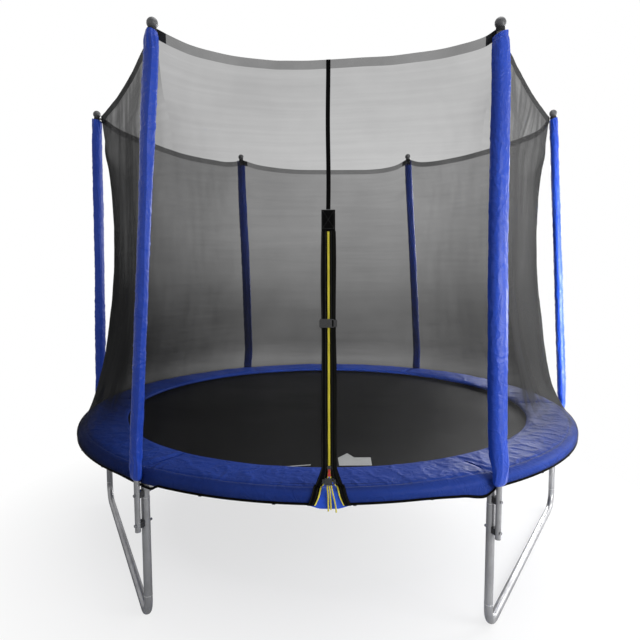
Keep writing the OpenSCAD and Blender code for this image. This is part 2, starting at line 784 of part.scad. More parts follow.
// One wing of a corner strap, on the hem of panel i at its left (-1) or right (1) end
module net_wing(i, end) {
    wing_a = 62 / lookup(hem_corner_z, net_corner) * 180 / PI;
    half = step / 2;
    rows = [2498, 2539];
    side = function(at) [for (z = rows, c = [0:2])
        let (a = end > 0 ? half - wing_a * (1 - c / 2) : wing_a * c / 2 - half)
        net_point(i, a, a / half, z, at)];
    rotate([0, 0, step * i + half + net_turn])
        sheet(side(3.4), side(1.3), 2, 3);
}

// ---------------------------------------------------------------- door

// Frame of the turned net's front: +X points out of the door, +Y to its right, +Z up
module door_turn() {
    rotate([0, 0, net_turn - 90])
        children();
}

// Frame on the zip line: +Z runs up the zip, +X stands out of it
module door_frame() {
    door_turn()
        translate([door_r, 0, door_z])
            rotate([0, -zip_tilt, 0])
                children();
}

// Strap from the hem down to the folded patch above the zip
module door_strap() {
    patch_v = 1027;
    patch_h = 88;
    color(webbing_black)
        above_datum() {
            door_turn()
                net_strip(strap_rows, function(z) -strap_w / 2, function(z) strap_w / 2, band_lift, band_t);
            door_frame()
                translate([band_lift, -29, patch_v])
                    cube([4.4, 58, patch_h]);
        }
}

// Two webbing bands along the zip, spread over the pad's edge at their lower ends
module zip_bands() {
    color(webbing_black)
        above_datum()
            door_turn()
                for (m = [0, 1])
                    mirror([0, m, 0])
                        net_strip(band_rows, function(z) lookup(z, door_inner), function(z) lookup(z, door_outer),
                                  band_lift, band_t, 3);
}

// Zip: closed chain with its tapes, and the two loose tapes below the slider
module zip_tape() {
    chain_v = [46, 1022];
    color(zip_yellow)
        above_datum() {
            door_frame() {
                translate([-0.6, -5.2, chain_v[0]])
                    cube([2.4, 10.4, chain_v[1] - chain_v[0]]);
                translate([1.8, -2.5, chain_v[0]])
                    cube([1.8, 5, chain_v[1] - chain_v[0]]);
            }
            door_turn()
                for (m = [0, 1])
                    mirror([0, m, 0])
                        net_strip(tape_rows, function(z) lookup(z, door_inner) - tape_w,
                                  function(z) lookup(z, door_inner) - 0.3, 0.4, 2);
        }
}

// Slider with two ears and the pin that carries the pull
module zip_slider() {
    color(webbing_black)
        above_datum()
            door_frame()
                translate([4.1, 0, slider_v]) {
                    linear_extrude_x(2)
                        polygon([[-4, 0], [4, 0], [8, 8], [8, 20], [-8, 20], [-8, 8]]);
                    for (m = [-1, 1])
                        translate([1.5, m * 6.2 - 1, 2])
                            cube([4.5, 2, 6]);
                    translate([pull_pin_w - 4.1, -6.5, pull_pin_v - slider_v])
                        rotate([-90, 0, 0])
                            cylinder(r = 1, h = 13, $fn = 24);
                }
}

// A flat outline drawn across and up, given a thickness along +X
module linear_extrude_x(t) {
    rotate([90, 0, 90])
        linear_extrude(height = t)
            children();
}

// Pull tab that hangs from the slider's pin
module zip_pull() {
    color(pull_red)
        above_datum()
            door_frame()
                translate([pull_pin_w, 0, pull_pin_v])
                    difference() {
                        union() {
                            translate([-1, 0, -26])
                                linear_extrude_x(2)
                                    union() {
                                        translate([-4.5, 6])
                                            square([9, 21]);
                                        translate([0, 6.5])
                                            circle(r = 6.5);
                                    }
                            translate([0, -4.5, 0])
                                rotate([-90, 0, 0])
                                    cylinder(r = 2.2, h = 9, $fn = 24);
                        }
                        translate([0, -5, 0])
                            rotate([-90, 0, 0])
                                cylinder(r = 1.08, h = 10, $fn = 24);
                    }
}

// Female half of a side-release buckle; its mouth is at y = 0 and it opens towards +Y
module buckle_socket(long, high) {
    difference() {
        translate([0, -long, 0])
            cube([9, long, high]);
        translate([2, -long * 0.55, 2.5])
            cube([5, long, high - 5]);
        for (z = [-1, high - 3.5])
            translate([2, -long * 0.45, z])
                cube([5, long * 0.22, 4.5]);
    }
}

// Male half: base, guide and two prongs that reach into the socket, and a loop for the webbing
module buckle_clip(base, reach, high, loop) {
    translate([0.5, eps, 0.5])
        cube([8, base - eps, high - 1]);
    for (z = [3.6, high - 3.6 - 3])
        translate([3, -reach, z])
            cube([3, reach + 1, 3]);
    translate([3, 0.2 - reach * 0.7, high / 2 - 1.5])
        cube([3, reach * 0.7 + 1, 3]);
    difference() {
        translate([2, base - 0.5, 0.5])
            cube([5, loop + 0.5, high - 1]);
        translate([1, base + 1.5, 4])
            cube([7, loop - 4, high - 8]);
    }
}

// The fixed halves of both buckles with the webbing that ties them to the bands
module buckle_sockets() {
    color(plastic_black)
        above_datum()
            door_frame() {
                translate([upper_buckle_w, -5, upper_buckle_v])
                    buckle_socket(31, 36);
                translate([band_lift + band_t + 0.1, -38, upper_buckle_v + 4])
                    cube([upper_buckle_w - band_lift - band_t - 0.1, 18, 28]);
                translate([4.5, 0, lower_buckle_v])
                    buckle_socket(18, 27);
                translate([4.5, -28, lower_buckle_v + 5])
                    cube([2.5, 10.5, 17]);
            }
}

// Released by sliding to the right
module upper_buckle_clip() {
    color(plastic_black)
        above_datum()
            door_frame()
                translate([upper_buckle_w, -5, upper_buckle_v])
                    buckle_clip(17, 14, 36, 10);
    color(webbing_black)
        above_datum()
            door_frame()
                translate([upper_buckle_w - 1.5, 21, upper_buckle_v + 4])
                    cube([8, 13, 28]);
}

// Released by sliding to the right
module lower_buckle_clip() {
    color(plastic_black)
        above_datum()
            door_frame()
                translate([4.5, 0, lower_buckle_v])
                    buckle_clip(10, 8, 27, 8);
    color(webbing_black)
        above_datum()
            door_frame()
                translate([4.5, 16.5, lower_buckle_v + 5])
                    cube([6, 9, 17]);
}

// Three loose cords that hang over the pad's edge in the door's opening
module pull_cords() {
    color(zip_yellow)
        above_datum()
            door_turn()
                for (route = cord_routes)
                    swept_tube([for (p = route) [p[1], p[0], p[2]]], cord_d, 8);
}

top_rail(0);  // top_rail_right
top_rail(1);  // top_rail_back_right
top_rail(2);  // top_rail_back_left
top_rail(3);  // top_rail_left
top_rail(4);  // top_rail_front_left
top_rail(5);  // top_rail_front_right
leg_base(0);  // leg_base_right
leg_base(1);  // leg_base_back
leg_base(2);  // leg_base_left
leg_upright(0);  // leg_upright_right
leg_upright(1);  // leg_upright_back_right
leg_upright(2);  // leg_upright_back_left
leg_upright(3);  // leg_upright_left
leg_upright(4);  // leg_upright_front_left
leg_upright(5);  // leg_upright_front_right
lower_pole(0);  // lower_pole_right
lower_pole(1);  // lower_pole_back_right
lower_pole(2);  // lower_pole_back_left
lower_pole(3);  // lower_pole_left
lower_pole(4);  // lower_pole_front_left
lower_pole(5);  // lower_pole_front_right
upper_poles();
foam_tubes();
pole_sleeve(0);  // pole_sleeve_right
pole_sleeve(1);  // pole_sleeve_back_right
pole_sleeve(2);  // pole_sleeve_back_left
pole_sleeve(3);  // pole_sleeve_left
pole_sleeve(4);  // pole_sleeve_front_left
pole_sleeve(5);  // pole_sleeve_front_right
pole_caps();
pole_spacers();
pole_bolts();
pole_nuts();
spring_pad(0);  // spring_pad_back_right
spring_pad(1);  // spring_pad_back
spring_pad(2);  // spring_pad_back_left
spring_pad(3);  // spring_pad_front_left
spring_pad(4);  // spring_pad_front
spring_pad(5);  // spring_pad_front_right
jumping_mat();
mat_band();
mat_rings();
springs();
net_panel(0);  // net_panel_back_right
net_panel(1);  // net_panel_back
net_panel(2);  // net_panel_back_left
net_panel(3);  // net_panel_front_left
net_panel(4);  // net_panel_front
net_panel(5);  // net_panel_front_right
net_ties();
net_corner_straps();
door_strap();
zip_bands();
zip_tape();
zip_slider();
zip_pull();
buckle_sockets();
upper_buckle_clip();
lower_buckle_clip();
pull_cords();
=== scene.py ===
"""The look of a round garden trampoline with a netted enclosure, built on its CAD frame."""

import logging
import math
from dataclasses import dataclass, field
from enum import Enum
from typing import Callable, Optional, Sequence

import bmesh
import bpy
import numpy as np
from mathutils import Matrix, Vector

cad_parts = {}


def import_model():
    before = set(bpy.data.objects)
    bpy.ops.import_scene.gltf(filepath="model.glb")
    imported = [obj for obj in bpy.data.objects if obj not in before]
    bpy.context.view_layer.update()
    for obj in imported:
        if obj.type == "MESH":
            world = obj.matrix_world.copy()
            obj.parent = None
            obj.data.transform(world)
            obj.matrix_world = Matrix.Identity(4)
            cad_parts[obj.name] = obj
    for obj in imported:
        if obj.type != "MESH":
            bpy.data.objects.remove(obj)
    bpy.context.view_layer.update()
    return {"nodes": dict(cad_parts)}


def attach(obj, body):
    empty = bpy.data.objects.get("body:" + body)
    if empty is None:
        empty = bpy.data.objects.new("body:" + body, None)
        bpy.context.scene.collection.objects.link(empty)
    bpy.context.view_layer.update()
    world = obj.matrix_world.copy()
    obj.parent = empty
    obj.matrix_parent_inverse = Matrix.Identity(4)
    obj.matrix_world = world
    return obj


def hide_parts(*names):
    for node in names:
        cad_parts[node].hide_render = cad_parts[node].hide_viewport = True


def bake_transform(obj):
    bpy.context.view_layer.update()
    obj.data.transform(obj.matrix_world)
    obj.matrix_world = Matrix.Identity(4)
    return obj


LOG = logging.getLogger("trampoline")
MM = 0.001
DATUM = 42.0  # heights below are measured from this level above the ground
POLES = 6
STEP = 60.0  # degrees from one pole to the next
HALF_STEP = STEP / 2
RIM_BULGE = 0.35  # how far a sheet's rim bulges, as a share of its thickness
SIDES = ("back_right", "back", "back_left", "front_left", "front", "front_right")
POLE_NAMES = ("right", "back_right", "back_left", "left", "front_left", "front_right")
Points = np.ndarray
Colour = tuple[float, float, float]
Point = tuple[float, float, float]


# ------------------------------------------------------------------ shape helpers, in millimetres
class Profile:
    """A smooth curve through (position, value) rows that never overshoots them."""

    def __init__(self, rows: Sequence[Sequence[float]]) -> None:
        """Prepares the slopes of a monotone cubic through the rows.

        Args:
            rows: pairs of x and y.
        """
        self.x = np.array([row[0] for row in rows], float)
        self.y = np.array([row[1] for row in rows], float)
        step = np.diff(self.x)
        slope = np.diff(self.y) / step
        inner = np.zeros(len(slope) - 1)
        same = slope[:-1] * slope[1:] > 0
        weight_a, weight_b = 2 * step[1:] + step[:-1], step[1:] + 2 * step[:-1]
        inner[same] = ((weight_a + weight_b)[same]
                       / (weight_a[same] / slope[:-1][same] + weight_b[same] / slope[1:][same]))
        self.slope = np.concatenate([[slope[0]], inner, [slope[-1]]])

    def __call__(self, at: Points) -> Points:
        """Values of the curve.

        Args:
            at: positions along the curve, any shape.

        Returns:
            The values, in the same shape; the end values hold beyond the ends.
        """
        at = np.clip(np.asarray(at, float), self.x[0], self.x[-1])
        k = np.clip(np.searchsorted(self.x, at, side="right") - 1, 0, len(self.x) - 2)
        step = self.x[k + 1] - self.x[k]
        t = (at - self.x[k]) / step
        return ((2 * t**3 - 3 * t**2 + 1) * self.y[k] + (t**3 - 2 * t**2 + t) * step * self.slope[k]
                + (3 * t**2 - 2 * t**3) * self.y[k + 1] + (t**3 - t**2) * step * self.slope[k + 1])


def smooth(at: Points, start: float, end: float) -> Points:
    """Rises smoothly from 0 at start to 1 at end, which may be the lower of the two."""
    t = np.clip((np.asarray(at, float) - start) / (end - start), 0, 1)
    return t * t * (3 - 2 * t)


def bump(at: Points, centre: float, width: float) -> Points:
    """A soft hump of height 1 at centre that is gone about two widths away."""
    return np.exp(-(((np.asarray(at, float) - centre) / width) ** 2))


def waves(points: Points, length: float, seed: int, octaves: int = 3,
          stretch: Sequence[float] = (1, 1, 1)) -> Points:
    """Smooth random waves in space.

    Args:
        points: positions, (..., 3).
        length: the longest wave's length.
        seed: picks the pattern.
        octaves: how many times the waves are halved and added.
        stretch: how much finer the waves are along each axis.

    Returns:
        Heights of about -1 to 1, one for each point.
    """
    rng = np.random.default_rng(seed)
    at = points * np.asarray(stretch, float)
    total = np.zeros(points.shape[:-1])
    gain = 1.0
    for octave in range(octaves):
        way = rng.normal(size=(6, 3))
        way *= (rng.uniform(0.7, 1.3, 6) / np.linalg.norm(way, axis=1))[:, None]
        phase = rng.uniform(0, 2 * math.pi, 6)
        bend = 0.6 * np.sin(at[..., [1, 2, 0]] * (2.1 * math.pi / length) + phase[:3])
        turn = (at * (2 * math.pi / length) + bend) @ way.T * 2**octave + phase
        total += gain * np.sin(turn).sum(-1) / 3.2
        gain *= 0.5
    return total


def creases(points: Points, length: float, seed: int, octaves: int = 3,
            stretch: Sequence[float] = (1, 1, 1)) -> Points:
    """Sharp-backed folds of height 0 to 1, as in crumpled cloth; the arguments are those of waves."""
    return (1 - np.minimum(np.abs(waves(points, length, seed, octaves, stretch)) * 1.6, 1)) ** 1.6


def around(radius: Points, degrees: Points, height: Points) -> Points:
    """Points at a radius from the middle of the trampoline, an angle and a height.

    Args:
        radius: in mm.
        degrees: turned from +X towards +Y.
        height: in mm.

    Returns:
        The points.
    """
    angle = np.radians(degrees)
    radius, angle, height = np.broadcast_arrays(radius, angle, height)
    return np.stack([radius * np.cos(angle), radius * np.sin(angle), height], -1)


def lifted(points: Points) -> Points:
    """Points above the datum level as points above the ground."""
    return np.asarray(points, float) + np.array([0.0, 0.0, DATUM])


def placed(points: Points, matrix: Matrix) -> Points:
    """The points moved by a 4 by 4 matrix whose shift is in millimetres."""
    m = np.array(matrix)
    return points @ m[:3, :3].T + m[:3, 3]


def rounded(path: Points, times: int) -> Points:
    """Cuts a path's corners again and again, keeping its ends.

    Args:
        path: its points.
        times: how often.

    Returns:
        The rounder path.
    """
    for _ in range(times):
        near, far = path[:-1] * 0.75 + path[1:] * 0.25, path[:-1] * 0.25 + path[1:] * 0.75
        between = np.stack([near, far], 1).reshape(-1, path.shape[1])
        path = np.concatenate([path[:1], between[1:-1], path[-1:]])
    return path


def spread(*parts: Points) -> Points:
    """Points from their X, Y and Z, each of any shape that fits the others."""
    return np.stack(np.broadcast_arrays(*parts), -1)


def normals(grid: Points) -> Points:
    """Unit normals of a grid of points, (rows, columns, 3).

    Args:
        grid: the points.

    Returns:
        One normal for each point.
    """
    across = np.gradient(grid, axis=1)
    along = np.gradient(grid, axis=0)
    out = np.cross(across, along)
    return out / np.maximum(np.linalg.norm(out, axis=-1, keepdims=True), 1e-9)


class MeshData:
    """Vertices, faces and texture positions that grow piece by piece, then become one object."""

    def __init__(self) -> None:
        """Starts empty."""
        self.points: list[Points] = []
        self.faces: list[tuple[int, ...]] = []
        self.uv: list[Points] = []
        self.slots: list[int] = []
        self.count = 0

    def grid(self, grid: Points, uv: Optional[Points] = None, slot: int | Points = 0,
             ring: bool = False, flip: bool = False) -> "MeshData":
        """Adds a grid of points as quads.

        Args:
            grid: (rows, columns, 3).
            uv: (rows, columns, 2) in millimetres; by default the distances along the grid.
            slot: the material slot, or one slot for each row of quads.
            ring: joins the last column to the first.
            flip: turns the faces over.

        Returns:
            Itself, for chained calls.
        """
        rows, cols = grid.shape[:2]
        if uv is None:
            across, along = (
                np.concatenate([[0], np.cumsum(np.linalg.norm(np.diff(line, axis=0), axis=-1))])
                for line in (grid[rows // 2], grid[:, cols // 2]))
            uv = np.stack(np.meshgrid(across, along), -1)
        if ring:
            grid = np.concatenate([grid, grid[:, :1]], 1)
            end = 2 * uv[:, -1:] - uv[:, -2:-1]
            uv = np.concatenate([uv, end], 1)
            cols += 1
        index = self.count + np.arange(rows * cols).reshape(rows, cols)
        quads = np.stack([index[:-1, :-1], index[:-1, 1:], index[1:, 1:], index[1:, :-1]], -1)
        if flip:
            quads = quads[..., ::-1]
        kinds = np.broadcast_to(np.asarray(slot).reshape(-1, 1), quads.shape[:2])
        self.faces += [tuple(q) for q in quads.reshape(-1, 4).tolist()]
        self.slots += kinds.reshape(-1).tolist()
        self.points.append(grid.reshape(-1, 3))
        self.uv.append(uv.reshape(-1, 2))
        self.count += rows * cols
        return self

    def slab(self, grid: Points, thick: float, uv: Optional[Points] = None,
             ring: bool = False) -> "MeshData":
        """Adds a sheet of some thickness on the side its normals point to, with rounded rims.

        Args:
            grid: the points it lies on, (rows, columns, 3).
            thick: its thickness.
            uv: (rows, columns, 2) in millimetres.
            ring: joins the last column to the first.

        Returns:
            Itself, for chained calls.
        """
        round_grid = np.concatenate([grid[:, -1:], grid, grid[:, :1]], 1)
        up = normals(round_grid)[:, 1:-1] if ring else normals(grid)
        top = grid + up * thick
        middle = (top + grid) / 2
        self.grid(top, uv, ring=ring)
        self.grid(grid, uv, ring=ring, flip=True)
        every = slice(None)
        rims = [((0, every), (1, every), True), ((-1, every), (-2, every), False)]
        if not ring:
            rims += [((every, 0), (every, 1), False), ((every, -1), (every, -2), True)]
        for edge, inward, flip in rims:
            out = grid[edge] - grid[inward]
            out = out / np.maximum(np.linalg.norm(out, axis=-1, keepdims=True), 1e-9)
            strip = np.stack([top[edge], middle[edge] + out * thick * RIM_BULGE, grid[edge]], 0)
            self.grid(strip, ring=ring, flip=flip)
        return self

    def tube(self, path: Points, radius: float | Points, sides: int = 8, slot: int = 0,
             closed: bool = False) -> "MeshData":
        """Adds a round tube along a path.

        Args:
            path: (points, 3).
            radius: one radius, or one for each point.
            sides: how many sides the tube has.
            slot: the material slot.
            closed: joins the end to the start.

        Returns:
            Itself, for chained calls.
        """
        path = np.asarray(path, float)
        run = (np.roll(path, -1, 0) - np.roll(path, 1, 0)) if closed else np.gradient(path, axis=0)
        run /= np.maximum(np.linalg.norm(run, axis=1, keepdims=True), 1e-9)
        side = np.zeros_like(run)
        first = np.cross(run[0], [0, 0, 1] if abs(run[0][2]) < 0.9 else [1, 0, 0])
        side[0] = first / np.linalg.norm(first)
        for k in range(1, len(run)):
            turned = side[k - 1] - run[k] * np.dot(side[k - 1], run[k])
            side[k] = turned / np.linalg.norm(turned)
        other = np.cross(run, side)
        angle = np.linspace(0, 2 * math.pi, sides, endpoint=False)
        size = np.broadcast_to(np.asarray(radius, float), (len(path),))[:, None, None]
        grid = path[:, None] + size * (np.cos(angle)[None, :, None] * side[:, None]
                                       + np.sin(angle)[None, :, None] * other[:, None])
        if closed:
            grid = np.concatenate([grid, grid[:1]], 0)
        else:
            ends = [np.repeat(path[k][None, None], sides, 1) for k in (0, -1)]
            grid = np.concatenate([ends[0], grid, ends[1]], 0)
        return self.grid(grid, slot=slot, ring=True)

    def lathe(self, profile: Points, matrix: Matrix, sides: int) -> "MeshData":
        """Adds a turned shape.

        Args:
            profile: (radius, height) rows from the bottom up.
            matrix: places it; its axis is Z.
            sides: how many sides it has.

        Returns:
            Itself, for chained calls.
        """
        profile = np.asarray(profile, float)
        degrees = np.arange(sides) * 360.0 / sides
        grid = around(profile[:, :1], degrees[None], profile[:, 1:])
        return self.grid(placed(grid, matrix), ring=True)

    def done(self, name: str, *finishes: bpy.types.Material, merge: float = 0.0,
             sharp: float = 40.0, closed: bool = False) -> bpy.types.Object:
        """Makes the object.

        Args:
            name: its name.
            finishes: one material for each slot.
            merge: joins points closer than this, in millimetres.
            sharp: edges that turn by more than this many degrees stay sharp.
            closed: turns all faces outwards.

        Returns:
            The object, in the scene.
        """
        mesh = bpy.data.meshes.new(name)
        mesh.from_pydata(lifted(np.concatenate(self.points)) * MM, [], self.faces)
        layer = mesh.uv_layers.new(name="cloth")
        loops = np.empty(len(mesh.loops), np.int32)
        mesh.loops.foreach_get("vertex_index", loops)
        layer.data.foreach_set("uv", (np.concatenate(self.uv)[loops] * MM).ravel())
        mesh.polygons.foreach_set("material_index", np.array(self.slots, np.int32))
        for finish in finishes:
            mesh.materials.append(finish)
        made = show(name, mesh)
        weld(mesh, merge * MM if merge else 1e-7, closed)
        mesh.shade_smooth()
        mesh.set_sharp_from_angle(angle=math.radians(sharp))
        return made


def keep(piece: bpy.types.Object, node: str = "", body: str = "frame") -> bpy.types.Object:
    """Fixes a piece to a body, and shows it in place of a node if one is named.

    Args:
        piece: the object.
        node: what it stands for, if anything.
        body: what it moves with.

    Returns:
        The piece.
    """
    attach(piece, body)
    if node:
        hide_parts(node)
    return piece


def show(name: str, mesh: bpy.types.Mesh) -> bpy.types.Object:
    """Puts a mesh into the scene as an object at the origin.

    Args:
        name: the object's name.
        mesh: its mesh.

    Returns:
        The object.
    """
    made = bpy.data.objects.new(name, mesh)
    bpy.context.scene.collection.objects.link(made)
    return made


def weld(mesh: bpy.types.Mesh, distance: float, closed: bool) -> None:
    """Joins points closer than a distance in metres and turns a closed mesh's faces outwards.

    Args:
        mesh: what is changed.
        distance: how close.
        closed: whether it has an outside.
    """
    work = bmesh.new()
    work.from_mesh(mesh)
    bmesh.ops.remove_doubles(work, verts=work.verts, dist=distance)
    bmesh.ops.dissolve_degenerate(work, edges=work.edges, dist=distance)
    if closed:
        bmesh.ops.recalc_face_normals(work, faces=work.faces)
    work.to_mesh(mesh)
    work.free()
    mesh.update()


# ------------------------------------------------------------------ node trees
class Nodes:
    """Adds nodes to a tree and links them in one call each."""

    def __init__(self, tree: bpy.types.NodeTree) -> None:
        """Keeps the tree."""
        self.tree = tree

    def add(self, kind: str, settings: Optional[dict] = None, **inputs: object) -> bpy.types.Node:
        """Adds one node.

        Args:
            kind: its type.
            settings: attributes of the node itself.
            inputs: values or sockets for its inputs; _ stands for a space, in_0 for an index.

        Returns:
            The node.
        """
        node = self.tree.nodes.new(kind)
        for name, value in (settings or {}).items():
            setattr(node, name, value)
        for name, value in inputs.items():
            key: int | str = int(name[3:]) if name.startswith("in_") else name.replace("_", " ")
            socket = node.inputs[key]
            if isinstance(value, bpy.types.NodeSocket):
                self.tree.links.new(value, socket)
            else:
                socket.default_value = value
        return node

    def math(self, operation: str, a: object, b: object = 0.0) -> bpy.types.NodeSocket:
        """The result of a sum on one or two values or sockets."""
        return self.add("ShaderNodeMath", {"operation": operation}, in_0=a, in_1=b).outputs[0]

    def blend(self, factor: object, a: object, b: object) -> bpy.types.NodeSocket:
        """A colour between two others.

        Args:
            factor: 0 to 1, or a socket.
            a, b: colours or sockets.

        Returns:
            The socket of the colour.
        """
        node = self.add("ShaderNodeMix", {"data_type": "RGBA"})
        for socket, value in ((node.inputs[0], factor), (node.inputs[6], a), (node.inputs[7], b)):
            if isinstance(value, bpy.types.NodeSocket):
                self.tree.links.new(value, socket)
            else:
                socket.default_value = value if isinstance(value, float) else (*value, 1.0)
        return node.outputs[2]

    def ramp(self, value: object, low: float, high: float, out_low: float,
             out_high: float) -> bpy.types.NodeSocket:
        """Maps a value from one range to another, held at the ends."""
        return self.add("ShaderNodeMapRange", {"clamp": True}, Value=value, From_Min=low,
                        From_Max=high, To_Min=out_low, To_Max=out_high).outputs[0]


def group(name: str, inputs: dict[str, str], outputs: dict[str, str],
          fill: Callable[[Nodes, dict, bpy.types.Node], dict]) -> bpy.types.NodeTree:
    """Makes a shader node group.

    Args:
        name: its name.
        inputs: socket names and types.
        outputs: socket names and types.
        fill: adds its nodes; gets the nodes, the input sockets and the group's input node and
            returns the sockets for the outputs by name.

    Returns:
        The group.
    """
    tree = bpy.data.node_groups.new(name, "ShaderNodeTree")
    for label, kind in inputs.items():
        tree.interface.new_socket(label, in_out="INPUT", socket_type=kind)
    for label, kind in outputs.items():
        tree.interface.new_socket(label, in_out="OUTPUT", socket_type=kind)
    nodes = Nodes(tree)
    start, end = nodes.add("NodeGroupInput"), nodes.add("NodeGroupOutput")
    made = fill(nodes, {s.name: s for s in start.outputs}, start)
    for label, socket in made.items():
        tree.links.new(socket, end.inputs[label])
    return tree


def fill_drift(nodes: Nodes, given: dict, _: bpy.types.Node) -> dict:
    """Slow uneven change between 0 and 1."""
    noise = nodes.add("ShaderNodeTexNoise", Vector=given["Vector"], Scale=given["Scale"], Detail=4.0,
                      Roughness=0.6)
    return {"Amount": nodes.ramp(noise.outputs[0], 0.33, 0.67, 0.0, 1.0)}


def fill_weave(nodes: Nodes, given: dict, _: bpy.types.Node) -> dict:
    """Over and under threads of a plain weave, as a height from 0 to 1.

    Args:
        nodes: the group being filled.
        given: its input sockets.

    Returns:
        The group's outputs by name.
    """
    split = nodes.add("ShaderNodeSeparateXYZ", Vector=given["Vector"])
    across = nodes.math("MULTIPLY", split.outputs[0], given["Threads"])
    along = nodes.math("MULTIPLY", split.outputs[1], given["Threads"])
    turn_a = nodes.math("MULTIPLY", across, math.pi)
    turn_b = nodes.math("MULTIPLY", along, math.pi)
    crossing = nodes.math("MULTIPLY", nodes.math("SINE", turn_a), nodes.math("SINE", turn_b))
    return {"Height": nodes.ramp(crossing, -1.0, 1.0, 0.0, 1.0)}


def fill_crumple(nodes: Nodes, given: dict, _: bpy.types.Node) -> dict:
    """Sharp small wrinkles of thin coated cloth, as a height from 0 to 1.

    Args:
        nodes: the group being filled.
        given: its input sockets.

    Returns:
        The group's outputs by name.
    """
    noise = nodes.add("ShaderNodeTexNoise", Vector=given["Vector"], Scale=given["Scale"], Detail=2.0,
                      Distortion=0.8)
    ridge = nodes.math("ABSOLUTE", nodes.math("SUBTRACT", noise.outputs[0], 0.5))
    return {"Height": nodes.ramp(ridge, 0.0, 0.13, 1.0, 0.0)}


class Groups:
    """The node groups that the finishes share."""

    def __init__(self) -> None:
        """Makes them once."""
        vector, number = "NodeSocketVector", "NodeSocketFloat"
        self.drift = group("drift", {"Vector": vector, "Scale": number}, {"Amount": number},
                           fill_drift)
        self.weave = group("weave", {"Vector": vector, "Threads": number}, {"Height": number},
                           fill_weave)
        self.crumple = group("crumple", {"Vector": vector, "Scale": number}, {"Height": number},
                             fill_crumple)


